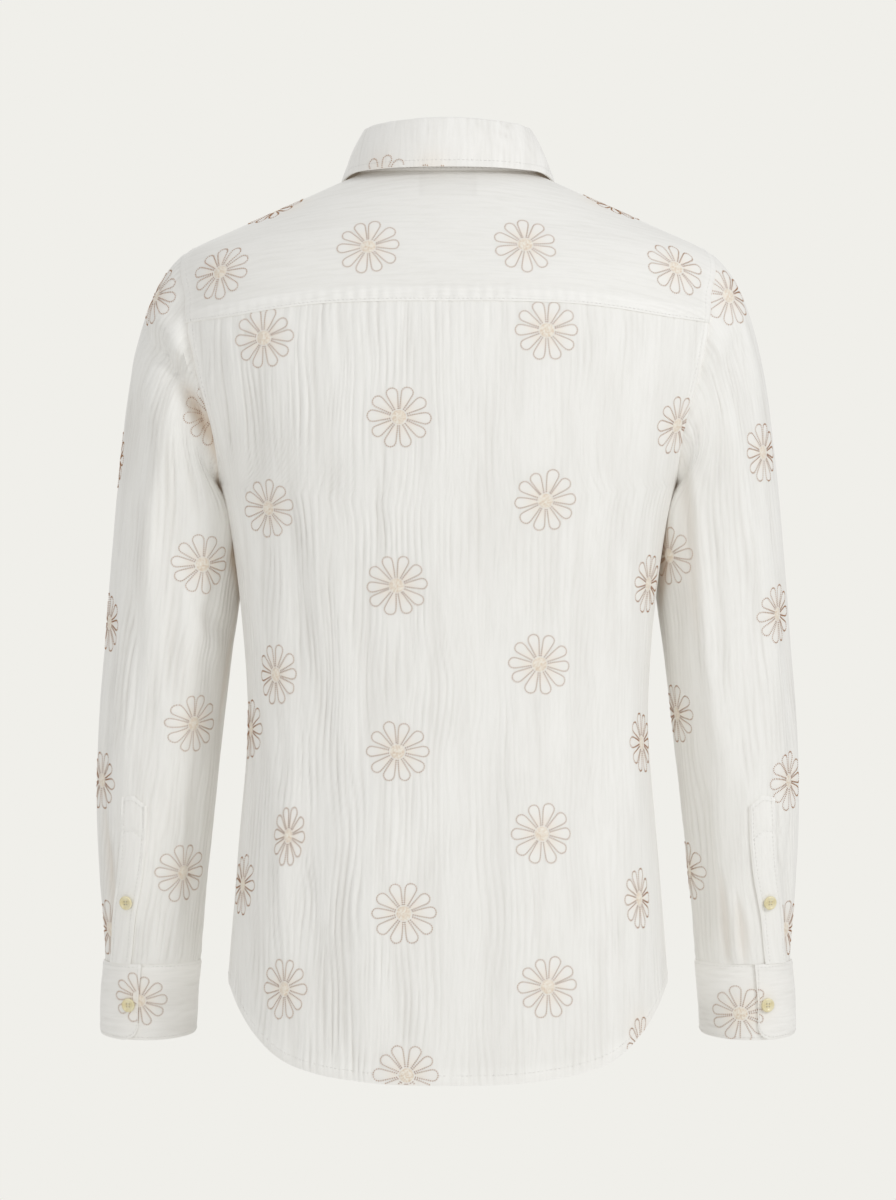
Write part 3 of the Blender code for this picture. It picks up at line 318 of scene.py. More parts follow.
# The cuff's flower under the lap comes again on the lap: row, turn, size and shift in millimetres
LapDaisy = namedtuple("LapDaisy", "row turn size aside")
LEFT_LAP_DAISY = LapDaisy(15.0, 5, (0.86, 0.84), 1.0)
RIGHT_LAP_DAISY = LapDaisy(18.5, -5, (0.86, 0.84), -13.0)

# Distance along the collar's free edge from its middle, height above that edge, and turn
LeafDaisy = namedtuple("LeafDaisy", "along above turn")
LEAF_DAISIES = (
    LeafDaisy(-0.0555, -0.0121, 0), LeafDaisy(-0.0115, -0.0212, 0),
    LeafDaisy(0.150, 0.022, 20), LeafDaisy(-0.165, 0.016, -25),
)

DAISY_SPACING = 0.055
PETALS = 10
PETAL_START = 6.0
PETAL_WIDEST = 19.6
PETAL_END = 23.9
PETAL_HALF_WIDTH = 4.35
PETAL_NECK = 1.15
PETAL_STEP = 360 / PETALS
PETAL_SWAY, PETAL_GROWTH, PETAL_BREADTH = 1.2, 0.02, 0.04
PETAL_STITCHES = 25
STITCH_GAP = 0.25
STITCH_LIFT = 0.00010
FILL_STITCHES, FILL_SHARE, FILL_HEIGHT = 16, 0.94, 0.00042
CORE_POINTS, CORE_START, CORE_END = 5, 8.5, 21.5
DEEP_FOLD_SHADE = 0.3
HEART_RADIUS = 5.9
HEART_HEIGHT = 0.0008
HEART_RINGS, HEART_SPOKES = 9, 40
KNOT_SIZE, KNOT_HEIGHT = 0.55, 0.00016
CALM_RADIUS = 0.0245
BLUSH_RADIUS = 0.012
STITCH_WIDTH = 0.00158
STITCH_HEIGHT = 0.00055

# Creases: height in mm (a trough is negative), width in mm, points (x, z) in mm,
# and how much painted shade the fold lays on the cloth's colour
Crease = namedtuple("Crease", "height width points shade", defaults=(0.0,))
LEFT_SLEEVE_CREASES = (
    Crease(-12.0, 6.5, ((236, -117), (220, -140), (207, -160), (194, -181), (184, -200))),
    Crease(-2.0, 5.5, ((206, -162), (195, -181), (184, -202), (177, -224)), 1.0),
    Crease(-1.0, 6.0, ((177, -222), (172, -255), (167, -295), (163, -335)), 1.1),
    Crease(-1.0, 5.0, ((164, -330), (172, -380), (180, -430)), 0.35),
    Crease(8.0, 9, ((228, -104), (214, -124), (203, -141), (195, -154))),
    Crease(3.0, 14, ((244, -142), (232, -168), (220, -196))),
    Crease(3.5, 13, ((236, -160), (222, -192), (204, -222))),
    Crease(-3.0, 6, ((196, -330), (184, -348), (172, -352))),
    Crease(2.5, 7, ((200, -345), (186, -366), (176, -372))),
    Crease(-2.6, 7, ((214, -240), (206, -290), (196, -335))),
    Crease(2.2, 10, ((232, -250), (228, -330), (224, -420))),
    Crease(-2.4, 8, ((244, -270), (243, -360), (240, -440))),
    Crease(-3.6, 5, ((268, -480), (265, -530), (261, -575), (257, -606)), 0.35),
    Crease(-2.2, 7, ((222, -500), (226, -550), (214, -600))),
    Crease(2.0, 8, ((206, -560), (212, -590), (208, -610))),
)
RIGHT_SLEEVE_CREASES = (
    Crease(-3.4, 8, ((-226, -128), (-214, -152), (-200, -176), (-188, -205))),
    Crease(2.8, 9, ((-222, -112), (-206, -140), (-194, -168))),
    Crease(-3.8, 6, ((-180, -212), (-186, -250), (-190, -300), (-194, -360)), 0.25),
    Crease(-1.0, 6, ((-172, -262), (-168, -300), (-166, -335)), 1.0),
    Crease(3.0, 7, ((-186, -215), (-196, -262), (-201, -320), (-204, -390))),
    Crease(-2.6, 6, ((-194, -225), (-205, -280), (-210, -350), (-212, -420))),
    Crease(2.4, 8, ((-206, -250), (-216, -320), (-220, -400))),
    Crease(-2.0, 8, ((-236, -250), (-238, -340), (-238, -430))),
    Crease(-3.0, 5, ((-266, -500), (-264, -545), (-262, -600))),
    Crease(-2.6, 4, ((-212, -545), (-216, -580), (-218, -611)), 0.3),
    Crease(2.4, 4, ((-219, -552), (-223, -585), (-225, -611))),
    Crease(-2.6, 4, ((-226, -560), (-229, -590), (-231, -611)), 0.3),
    Crease(2.2, 4, ((-232, -568), (-235, -592), (-236, -611))),
    Crease(-2.0, 6, ((-200, -470), (-206, -540), (-204, -600))),
)
BACK_CREASES = (
    Crease(4.0, 9, ((189, -142), (182, -166), (176, -192), (171, -222))),
    Crease(-2.4, 9, ((150, -150), (148, -230), (140, -300))),
    Crease(2.2, 12, ((163, -200), (158, -270), (150, -345))),
    Crease(-2.0, 9, ((128, -230), (116, -330), (112, -430))),
    Crease(1.8, 12, ((100, -260), (96, -380), (102, -520))),
    Crease(-1.6, 12, ((66, -300), (62, -420), (66, -560))),
    Crease(1.6, 14, ((12, -180), (8, -330), (14, -520))),
    Crease(-1.6, 12, ((-30, -240), (-34, -380), (-28, -560))),
    Crease(1.6, 12, ((-100, -200), (-96, -330), (-98, -480))),
    Crease(-2.2, 9, ((-128, -170), (-126, -270), (-118, -380))),
    Crease(2.0, 10, ((-150, -190), (-146, -270), (-140, -350))),
    Crease(-1.8, 10, ((-112, -420), (-116, -520), (-112, -620))),
    Crease(-2.0, 8, ((150, -400), (142, -490), (146, -600))),
    Crease(2.0, 9, ((120, -430), (128, -540), (120, -650))),
)
FRONT_LEFT_CREASES = (
    Crease(-3.0, 9, ((172, -205), (140, -216), (108, -212))),
    Crease(2.4, 10, ((168, -225), (130, -240), (96, -236))),
    Crease(-2.4, 9, ((150, -300), (120, -370), (104, -450))),
    Crease(2.2, 12, ((104, -260), (92, -390), (100, -560))),
    Crease(-1.8, 11, ((40, -220), (38, -380), (42, -580))),
    Crease(-2.2, 8, ((146, -480), (136, -560), (142, -620))),
)
FRONT_RIGHT_CREASES = (
    Crease(-3.0, 9, ((-172, -208), (-138, -222), (-104, -214))),
    Crease(2.4, 10, ((-166, -228), (-126, -246), (-92, -240))),
    Crease(-2.4, 9, ((-150, -310), (-124, -380), (-110, -470))),
    Crease(2.2, 12, ((-98, -270), (-88, -400), (-94, -570))),
    Crease(-1.8, 11, ((-38, -240), (-42, -400), (-38, -590))),
    Crease(-2.2, 8, ((-148, -470), (-138, -550), (-144, -615))),
)
LEFT_SLEEVE_FRONT_CREASES = (
    Crease(-4.0, 9, ((222, -120), (206, -160), (192, -200))),
    Crease(3.0, 9, ((232, -140), (216, -180), (200, -222))),
    Crease(-3.2, 8, ((262, -360), (236, -385), (206, -392))),
    Crease(2.6, 9, ((262, -385), (236, -408), (208, -416))),
    Crease(-2.4, 8, ((226, -430), (232, -520), (228, -600))),
)
RIGHT_SLEEVE_FRONT_CREASES = (
    Crease(-4.0, 9, ((-220, -124), (-206, -166), (-190, -204))),
    Crease(3.0, 9, ((-232, -146), (-214, -188), (-198, -226))),
    Crease(-3.2, 8, ((-260, -372), (-232, -392), (-204, -398))),
    Crease(2.6, 9, ((-260, -396), (-234, -414), (-206, -424))),
    Crease(-2.4, 8, ((-222, -440), (-230, -520), (-226, -600))),
)

# Tables for the wearer's left (1) and right (-1)
FRONT_DAISIES = {1: FRONT_LEFT_DAISIES, -1: FRONT_RIGHT_DAISIES}
SLEEVE_DAISIES = {1: LEFT_SLEEVE_DAISIES, -1: RIGHT_SLEEVE_DAISIES}
SLEEVE_FRONT_DAISIES = {1: LEFT_SLEEVE_FRONT_DAISIES, -1: RIGHT_SLEEVE_FRONT_DAISIES}
CUFF_DAISIES = {1: LEFT_CUFF_DAISIES, -1: RIGHT_CUFF_DAISIES}
CUFF_FRONT_DAISIES = {1: LEFT_CUFF_FRONT_DAISIES, -1: RIGHT_CUFF_FRONT_DAISIES}
LAP_DAISY = {1: LEFT_LAP_DAISY, -1: RIGHT_LAP_DAISY}
FRONT_CREASES = {1: FRONT_LEFT_CREASES, -1: FRONT_RIGHT_CREASES}
SLEEVE_CREASES = {1: LEFT_SLEEVE_CREASES, -1: RIGHT_SLEEVE_CREASES}
SLEEVE_FRONT_CREASES = {1: LEFT_SLEEVE_FRONT_CREASES, -1: RIGHT_SLEEVE_FRONT_CREASES}
SLEEVE_CRINKLE = {1: 1.25, -1: 0.95}
HANDS = {1: "left", -1: "right"}


def unit(vectors):
    return vectors / np.maximum(np.linalg.norm(vectors, axis=-1, keepdims=True), 1e-12)


def ease(x):
    x = np.clip(x, 0.0, 1.0)
    return x * x * (3 - 2 * x)


def run_along(points):
    """The distance from the first point or row to each of the others, along the cloth."""
    steps = np.linalg.norm(np.diff(points, axis=0), axis=-1)
    return np.concatenate([0 * steps[:1], np.cumsum(steps, axis=0)])


def through(knots, values, x):
    """A smooth curve through the values at the knots, read at x."""
    knots, values = np.asarray(knots, float), np.asarray(values, float)
    slopes = np.gradient(values, knots)
    i = np.clip(np.searchsorted(knots, x) - 1, 0, len(knots) - 2)
    step = knots[i + 1] - knots[i]
    t = (x - knots[i]) / step
    start, end = values[i], values[i + 1]
    return (
        start * (1 + 2 * t) * (1 - t) ** 2
        + end * t * t * (3 - 2 * t)
        + slopes[i] * step * t * (1 - t) ** 2
        - slopes[i + 1] * step * t * t * (1 - t)
    )


def read(table, name, x):
    """A column of a table as a smooth curve over its first column."""
    rows = sorted(table)
    return through([row[0] for row in rows], [getattr(row, name) for row in rows], x)


def torso_depth(toward, z):
    """How deep the body is at a level: behind where toward is positive, otherwise in front."""
    return np.where(toward >= 0, read(TORSO, "back", z), read(TORSO, "front", z))


def torso_radius(angle, z):
    """The body's radius at an angle from the wearer's left, without its folds."""
    across, along = np.cos(angle), np.sin(angle)
    width, depth = read(TORSO, "half_width", z), torso_depth(along, z)
    power = read(TORSO, "power", z)
    return (np.abs(across / width) ** power + np.abs(along / depth) ** power) ** (-1 / power)


def folds_at(folds, degrees, z):
    """How far the long folds raise the form at a turn round it and a height."""
    out = np.zeros(np.broadcast(degrees, z).shape)
    for fold in folds:
        middle, half = (fold.low + fold.high) / 2, (fold.high - fold.low) / 2
        away = (degrees - fold.turn - fold.lean * (z - middle) + 180) % 360 - 180
        ridge = fold.height * np.exp(-((away / fold.spread) ** 2))
        out += ridge * ease(FOLD_FADE * (1 - np.abs(z - middle) / half))
    return out


def torso(angle, z):
    """A point of the body, folds included."""
    angle, z = np.broadcast_arrays(np.asarray(angle, float), np.asarray(z, float))
    radius = torso_radius(angle, z) + folds_at(TORSO_FOLDS, np.degrees(angle), z)
    return np.stack([radius * np.cos(angle), radius * np.sin(angle), z], axis=-1)


def on_torso(places):
    return torso(places[..., 0], places[..., 1])


def torso_side(y, z):
    """How far out the body's surface lies at y and z."""
    power = read(TORSO, "power", z)
    share = np.clip(1 - np.abs(y / torso_depth(y, z)) ** power, 0.0, 1.0)
    return read(TORSO, "half_width", z) * share ** (1 / power)


def torso_level(angle, radius):
    """The height at which the shoulders have a radius."""
    low, high = 0 * radius - 0.20, 0 * radius + 0.012
    for _ in range(30):
        middle = (low + high) / 2
        outside = torso_radius(angle, middle) > radius
        low, high = np.where(outside, middle, low), np.where(outside, high, middle)
    return low


def armhole(turns):
    """(angle, z) on the body along the left armhole: 0 is its top, 90 the back, 180 underarm."""
    turn = np.radians(turns)
    up, back = np.cos(turn), np.sin(turn)
    size = (np.abs(up) ** ARMHOLE_POWER + np.abs(back) ** ARMHOLE_POWER) ** (-1 / ARMHOLE_POWER)
    z = (SHOULDER_TIP + UNDERARM) / 2 + (SHOULDER_TIP - UNDERARM) / 2 * size * up
    y = ARMHOLE_MIDDLE_Y * np.abs(back) + ARMHOLE_HALF_DEPTH * size * back
    return np.stack([np.arctan2(y, torso_side(y, z)), z], axis=-1)


def neckline(angle):
    """(angle, z) on the body along the neck's seam."""
    along = np.sin(angle)
    drop = np.where(along >= 0, NECK_SIDE - NECK_BACK, NECK_SIDE - NECK_FRONT)
    return np.stack([angle + 0 * along, NECK_SIDE - drop * along**2], axis=-1)


def front_point(x, z):
    """A point of the front at a distance x from its middle."""
    power = read(TORSO, "power", z)
    width, depth = read(TORSO, "half_width", z), read(TORSO, "front", z)
    return -depth * (1 - np.abs(x / width) ** power) ** (1 / power)


def front_edge(z):
    """(angle, z) along the left front's seam with its band."""
    y = front_point(BAND_HALF_WIDTH, z)
    return np.stack([np.arctan2(y, BAND_HALF_WIDTH + 0 * z), z], axis=-1)


def front_edge_top():
    """The height at which the front's edge meets the neckline."""
    low, high = NECK_FRONT - 0.01, NECK_SIDE
    for _ in range(40):
        middle = (low + high) / 2
        angle = front_edge(np.array(middle))[0]
        low, high = (middle, high) if neckline(angle)[1] > middle else (low, middle)
    return low


def between(start, end, count):
    share = np.linspace(0, 1, count + 1)[:, None]
    return np.asarray(start) * (1 - share) + np.asarray(end) * share


def hem(start_angle, tail, shares):
    """(angle, z) along a curved hem, from a panel's middle out to the side seam."""
    drop = (SIDE_HEM - tail) * read(HEM, "drop", shares)
    return np.stack([start_angle * (1 - shares), SIDE_HEM - drop], axis=-1)


def back_yoke_seam(columns):
    """(angle, z) along the back yoke's seam, from its middle out to the armhole."""
    end = armhole(BACK_YOKE_TURN)
    seam = between((math.pi / 2, BACK_YOKE_MIDDLE), end, columns)
    drop = read(YOKE_SEAM, "drop", np.linspace(0, 1, columns + 1))
    seam[:, 1] = BACK_YOKE_MIDDLE + (end[1] - BACK_YOKE_MIDDLE) * drop
    return seam


def patch(bottom, top, left, right, rows, columns):
    """A grid of places between four edges that meet at their corners."""
    v, u = rows[:, None, None], columns[None, :, None]
    across = (1 - u) * left[:, None] + u * right[:, None]
    bottom_curve = bottom - ((1 - u) * bottom[0] + u * bottom[-1])
    top_curve = top - ((1 - u) * top[0] + u * top[-1])
    return across + (1 - v) ** BOTTOM_CURVE_FADE * bottom_curve + v * top_curve


def side_line(end_turn, count):
    """The side seam and armhole in evenly spaced rows, and the row at the underarm."""
    seam = np.linspace((0, SIDE_HEM), (0, UNDERARM), SIDE_SAMPLES)
    around = np.linspace(180 if end_turn > 0 else -180, end_turn, SIDE_SAMPLES + 1)[1:]
    line = np.concatenate([seam, armhole(around)])
    run = run_along(on_torso(line))
    run /= run[-1]
    underarm = run[SIDE_SAMPLES - 1]
    corner = round(underarm * count)
    lower = np.linspace(0, underarm, corner + 1)
    shares = np.concatenate([lower, np.linspace(underarm, 1, count - corner + 1)[1:]])
    even = np.stack([np.interp(shares, run, line[:, k]) for k in range(2)], axis=-1)
    return even, shares, corner


def back_places(count, columns):
    right, rows, corner = side_line(BACK_YOKE_TURN, count)
    shares = np.linspace(0, 1, columns + 1)
    left = np.stack([0 * rows + math.pi / 2, BACK_TAIL + (BACK_YOKE_MIDDLE - BACK_TAIL) * rows], -1)
    top = back_yoke_seam(columns)
    half = patch(hem(math.pi / 2, BACK_TAIL, shares), top, left, right, rows, shares)
    return np.concatenate([mirrored(half)[:, :0:-1], half], axis=1), corner


def front_places(count, neck_columns, seam_columns):
    right, rows, corner = side_line(FRONT_YOKE_TURN, count)
    top_level = front_edge_top()
    left = front_edge(FRONT_TAIL + (top_level - FRONT_TAIL) * rows)
    neck_end = math.radians(YOKE_NECK_ANGLE)
    neck = neckline(np.linspace(left[-1, 0], neck_end, neck_columns + 1))
    seam = between(neckline(neck_end), armhole(FRONT_YOKE_TURN), seam_columns)
    neck_shares = np.linspace(0, FRONT_NECK_SHARE, neck_columns + 1)
    seam_shares = np.linspace(FRONT_NECK_SHARE, 1, seam_columns + 1)[1:]
    columns = np.concatenate([neck_shares, seam_shares])
    bottom = hem(left[0, 0], FRONT_TAIL, columns)
    top = np.concatenate([neck, seam[1:]])
    return patch(bottom, top, left, right, rows, columns), corner


def yoke_places(back_rows, neck_rows, columns):
    """The left half of the yoke, from its middle line and the neck out to the armhole."""
    neck_end = math.radians(YOKE_NECK_ANGLE)
    back = between((math.pi / 2, BACK_YOKE_MIDDLE), neckline(math.pi / 2), back_rows)
    neck = neckline(np.linspace(math.pi / 2, neck_end, neck_rows + 1))
    left = np.concatenate([back, neck[1:]])
    right = armhole(np.linspace(BACK_YOKE_TURN, FRONT_YOKE_TURN, len(left)))
    rows, shares = np.linspace(0, 1, len(left)), np.linspace(0, 1, columns + 1)
    bottom = back_yoke_seam(columns)
    top = between(neckline(neck_end), armhole(FRONT_YOKE_TURN), columns)
    return patch(bottom, top, left, right, rows, shares)


def mirrored(places):
    return np.stack([math.pi - places[..., 0], places[..., 1]], axis=-1)


def sleeve_ring(turns, z):
    """A point of the left sleeve: turn 0 is its outer side, 90 its back."""
    turn = np.radians(turns)
    inner, outer = read(SLEEVE, "inner", z), read(SLEEVE, "outer", z)
    x = (inner + outer) / 2 + (outer - inner) / 2 * np.cos(turn)
    y = read(SLEEVE, "middle_y", z) + read(SLEEVE, "half_depth", z) * np.sin(turn)
    return np.stack(np.broadcast_arrays(x, y, z), axis=-1)


def cap_share(turns, name):
    """A column of the cap's lines, blended from its top over its sides to the underarm."""
    turn = np.radians(turns)
    top, under = np.maximum(np.cos(turn), 0) ** 2, np.maximum(-np.cos(turn), 0) ** 2
    side = np.sin(turn) ** 2
    values = [getattr(cap, name) for cap in (CAP_TOP, CAP_SIDE, CAP_UNDER)]
    return (top * values[0] + side * values[1] + under * values[2])[..., None]


def sleeve_cap(turns, shares):
    """Curves from the armhole down to the level where the sleeve is a plain tube."""
    start = on_torso(armhole(turns))
    end = sleeve_ring(turns, BICEP + 0 * turns)
    arriving = unit(end - sleeve_ring(turns, BICEP - 0.01 + 0 * turns))
    leaving = np.concatenate(
        [cap_share(turns, "out"), 0 * turns[:, None], -cap_share(turns, "down")], axis=-1
    )
    first = start + unit(leaving) * cap_share(turns, "first_pull")
    last = end + arriving * cap_share(turns, "last_pull")
    t = np.asarray(shares)[:, None, None]
    return (
        (1 - t) ** 3 * start
        + 3 * (1 - t) ** 2 * t * first
        + 3 * (1 - t) * t**2 * last
        + t**3 * end
    )


def off_the_body(points):
    """Moves the sleeve's inner side out of the body."""
    x, y, z = points[..., 0], points[..., 1], points[..., 2]
    below = ease((UNDERARM + 0.012 - z) / 0.03)
    limit = torso_side(y, z) + SLEEVE_CLEARANCE * below
    soft = 0.002
    pushed = limit + soft * np.logaddexp(0, (x - limit) / soft)
    near = ease((0.03 - (x - limit)) / 0.01) * below
    moved = points.copy()
    moved[..., 0] = x * (1 - near) + np.maximum(pushed, x) * near
    return moved


def sleeve_grid(cap_rows, lower_rows, columns):
    """The left sleeve, cut open along the slit's line, from the armhole down to the cuff."""
    share = np.linspace(0, 1, columns + 1)
    turns = SLIT_FAR_TURN + share * 360
    cap = sleeve_cap(turns, np.linspace(0, 1, cap_rows + 1)[:-1])
    levels = np.linspace(BICEP, CUFF_TOP, lower_rows + 1)
    rows, every_turn = [], [turns] * cap_rows
    for z in levels:
        level = np.clip(z, CUFF_TOP, SLIT_READ_TOP)
        near = float(read(SLIT, "near_edge", level))
        free = float(read(SLIT, "free_edge", level))
        parted = float(ease((SLIT_TOP + 0.004 - z) / 0.012))
        first = SLIT_FAR_TURN - (SLIT_FAR_TURN - free + SLIT_LAP) * parted
        last = SLIT_FAR_TURN - (SLIT_FAR_TURN - near) * parted
        row = first + share * (360 + last - first)
        every_turn.append(row)
        rows.append(sleeve_ring(row, z + 0 * row))
    points = np.concatenate([cap, np.array(rows)])
    inner = ease((0.215 - points[..., 0]) / 0.05)
    high = ease((points[..., 2] + 0.330) / 0.05) * ease((UNDERARM + 0.03 - points[..., 2]) / 0.03)
    points[..., 0] -= SLEEVE_LEAN * inner * high
    points = off_the_body(points)
    points[0] = on_torso(armhole(turns))
    fold = folds_at(SLEEVE_FOLDS, np.array(every_turn), points[..., 2])
    fold *= ease((np.arange(len(points))[:, None] - 1.0) / (cap_rows * 0.6))
    normals = facing(points, inside(points))
    whole = points[:, 0, 2] > SLIT_TOP - 0.002
    shared = unit(normals[whole, 0] + normals[whole, -1])
    normals[whole, 0] = normals[whole, -1] = shared
    return points + normals * fold[..., None]


def inside(points):
    """The middle of each row, which the cloth faces away from."""
    return points.mean(axis=1, keepdims=True)


def facing(points, centre):
    """The outward direction at each grid point."""
    normals = unit(np.cross(np.gradient(points, axis=1), np.gradient(points, axis=0)))
    side = np.sign(((points - centre) * normals).sum(-1).mean())
    return normals * (side if side else 1)


def sleeve_place(turns, z, offset):
    """A point off the left sleeve's surface, and the level direction that it faces."""
    turns, z = np.broadcast_arrays(np.asarray(turns, float), np.asarray(z, float))
    tangent = unit(sleeve_ring(turns + 1, z) - sleeve_ring(turns - 1, z))
    normal = np.stack([tangent[..., 1], -tangent[..., 0], 0 * turns], axis=-1)
    height = offset + folds_at(SLEEVE_FOLDS, turns, z)
    return sleeve_ring(turns, z) + normal * height[..., None], normal


def degrees_for(width, z):
    """How many degrees of the sleeve's girth a width takes up."""
    across = (read(SLEEVE, "outer", z) - read(SLEEVE, "inner", z)) / 2
    return np.degrees(width / ((across + read(SLEEVE, "half_depth", z)) / 2))


def noise(x, y, seed):
    """Smooth noise from -1 to 1, one bump to each unit."""
    table = np.random.default_rng(seed).uniform(-1, 1, (256, 256))
    x, y = np.broadcast_arrays(np.asarray(x, float), np.asarray(y, float))
    i, j = np.floor(x).astype(int), np.floor(y).astype(int)
    s, t = ease(x - i), ease(y - j)
    low = table[i % 256, j % 256] * (1 - s) + table[(i + 1) % 256, j % 256] * s
    high = table[i % 256, (j + 1) % 256] * (1 - s) + table[(i + 1) % 256, (j + 1) % 256] * s
    return low * (1 - t) + high * t


def crinkle(across, along, seed):
    """Gauze crinkles: long narrow ridges that wander, split and fade, with sharp valleys."""
    wander = 0.0040 * noise(across / 0.027, along / 0.060, seed)
    wander = wander + 0.0016 * noise(across / 0.009, along / 0.034, seed + 1)
    out = 0.45 * noise(across / 0.010, along / 0.070, seed + 3)
    for pitch, height, spell in ((CRINKLE_PITCH, 1.0, 0.045), (0.57 * CRINKLE_PITCH, 0.5, 0.030)):
        strength = 0.45 + 0.75 * noise(across / (1.9 * pitch), along / spell, seed + 5)
        valley = 1 - np.abs(np.sin(np.pi * (across + wander) / pitch)) ** 0.8
        out = out - height * valley * np.clip(strength, 0.03, 1.0)
        wander = 1.3 * wander
    return out + 0.3


def steadied(values, rows):
    """Values averaged along each column, so that lines drawn through them bend gently."""
    for _ in range(2):
        padded = np.pad(values, ((rows + 1, rows), (0, 0)), mode="edge")
        total = np.cumsum(padded, axis=0)
        values = (total[2 * rows + 1 :] - total[: -2 * rows - 1]) / (2 * rows + 1)
    return values


def at_place(values, i, j):
    """Values of a grid at fractional places."""
    rows, columns = values.shape[:2]
    i0 = np.clip(np.floor(i).astype(int), 0, rows - 2)
    j0 = np.clip(np.floor(j).astype(int), 0, columns - 2)
    s, t = (i - i0)[..., None], (j - j0)[..., None]
    return (
        values[i0, j0] * (1 - s) * (1 - t)
        + values[i0 + 1, j0] * s * (1 - t)
        + values[i0, j0 + 1] * (1 - s) * t
        + values[i0 + 1, j0 + 1] * s * t
    )


class Cloth:
    """A panel's grid of points on the form, raised along its own outward directions."""

    def __init__(self, points, centre, v_up, middle=None, grain="along"):
        self.base = points
        self.normals = facing(points, centre)
        self.across = run_along(points.swapaxes(0, 1)).T
        self.down = run_along(points)
        self.u = self.across - (0 if middle is None else self.across[:, middle : middle + 1])
        self.v = self.down
        self.v_up, self.grain = v_up, grain
        self.steady_rows = STEADY_ROWS
        self.daisies = []
        self.calm = np.ones(points.shape[:2])
        # The cloth's colour values: its layers, the daisies' peach, and painted shade for the label
        # seen through it, the crinkles' valleys and the deep folds
        empty = np.zeros((6, *points.shape[:2]))
        self.rise, self.layers, self.blush, self.ghost, self.valley, self.fold = empty

    def from_edge(self, edge):
        """Each point's distance along the cloth from one of the grid's four edges."""
        if edge == "low":
            return self.down
        if edge == "high":
            return self.down[-1:] - self.down
        if edge == "start":
            return self.across
        return self.across[:, -1:] - self.across

    def seam(self, edge, allowance=0.0, flat=SEAM_FLAT, rows=slice(None)):
        """A seam: the cloth dips at it and lies doubled beside it."""
        away = self.from_edge(edge)
        weight = np.zeros_like(away)
        weight[rows] = 1.0
        self.calm *= 1 - weight * (1 - ease(away / flat))
        self.rise -= weight * SEAM_DIP * np.exp(-((away / SEAM_DIP_WIDTH) ** 2))
        if allowance:
            doubled = weight * (1 - ease((away - allowance) / ALLOWANCE_FADE))
            self.layers = np.maximum(self.layers, doubled)
            self.rise += doubled * ALLOWANCE_RISE

    def groove(self, edge, depth, width, away=0.0):
        """A groove along an edge, a distance in from it. A negative depth is a ridge."""
        self.rise -= depth * np.exp(-(((self.from_edge(edge) - away) / width) ** 2))

    def still(self, edge):
        """Lets the crinkles fade at an edge that is turned and pressed."""
        self.calm *= ease((self.from_edge(edge) + 0.001) / 0.004)

    def tuck(self, row, inner):
        """Runs an end row on under the panel that it is sewn to."""
        self.base[row] += unit(self.base[row] - self.base[inner]) * TUCK
        self.base[row] -= self.normals[row] * TUCK_DEPTH

    def locate(self, x, z, behind=True):
        """The grid place that shows at x, z (millimetres) from behind, or from the front."""
        px, py, pz = np.moveaxis(self.base, -1, 0)
        scale = CAMERA_DISTANCE / (CAMERA_DISTANCE - py) if behind else 1 + 0 * py
        seen = np.stack([px * scale, (pz - CAMERA_HEIGHT) * scale + CAMERA_HEIGHT], axis=-1)
        away = np.linalg.norm(seen - np.array([x, z]) / 1000, axis=-1)
        toward = self.normals[..., 1] if behind else -self.normals[..., 1]
        away = away + np.where(toward > 0.02, 0, 1.0)
        i, j = np.unravel_index(np.argmin(away), away.shape)
        return float(i), float(j)

    def add_daisies(self, table, behind=True):
        for daisy in table:
            i, j = self.locate(daisy.x, daisy.z, behind)
            if behind or self.is_free(i, j):
                self.add_daisy(i, j, daisy.turn, (daisy.wide, daisy.tall), drop=-daisy.above)

    def is_free(self, i, j):
        """Whether a daisy there keeps clear of those that are placed already."""
        at = self.base[int(i), int(j)]
        others = [self.base[int(daisy[0]), int(daisy[1])] for daisy in self.daisies]
        return all(np.linalg.norm(at - other) > DAISY_SPACING for other in others)

    def add_daisy(self, i, j, turn, size=(1.0, 0.96), aside=0.0, drop=0.0):
        """A daisy with its middle at a grid place, or some millimetres to the right or below."""
        self.daisies.append((i, j, turn, size, (aside, -drop)))
        rows, columns = self.rise.shape
        at = self.base[int(np.clip(i, 0, rows - 1)), int(np.clip(j, 0, columns - 1))]
        away = np.linalg.norm(self.base - at, axis=-1)
        self.calm *= 1 - 0.80 * np.exp(-((away / CALM_RADIUS) ** 6))
        self.blush = np.maximum(self.blush, np.exp(-((away / BLUSH_RADIUS) ** 2)))

    def add_creases(self, table, behind=True):
        for crease in table:
            places = [self.locate(x, z, behind) for x, z in crease.points]
            path = np.array([self.base[int(i), int(j)] for i, j in places])
            nearest = np.full(self.rise.shape, 9.0)
            along = np.zeros(self.rise.shape)
            for k, (start, end) in enumerate(zip(path, path[1:])):
                span = end - start
                t = np.clip(((self.base - start) @ span) / max(span @ span, 1e-12), 0, 1)
                away = np.linalg.norm(self.base - start - t[..., None] * span, axis=-1)
                along = np.where(away < nearest, (k + t) / (len(path) - 1), along)
                nearest = np.minimum(nearest, away)
            width = crease.width / 1000 * (0.75 + 0.5 * np.sin(np.pi * along))
            taper = 0.25 + 0.75 * np.sin(np.pi * along) ** 0.7
            depth = np.exp(-((nearest / width) ** 2)) * taper
            self.rise += crease.height / 1000 * 0.8 * depth
            # Painted shade: the fold darkens the cloth's colour to a warm tan along its line
            self.fold = np.maximum(self.fold, crease.shade * depth)

    def close_ring(self, rows, width=0.016):
        """Makes the first and last columns agree on the rows where they meet."""
        share = ease(self.from_edge("end") / width)
        joined = self.rise * share + self.rise[:, :1] * (1 - share)
        self.rise[rows] = joined[rows]
        shared = unit(self.normals[rows, 0] + self.normals[rows, -1])
        self.normals[rows, 0] = self.normals[rows, -1] = shared

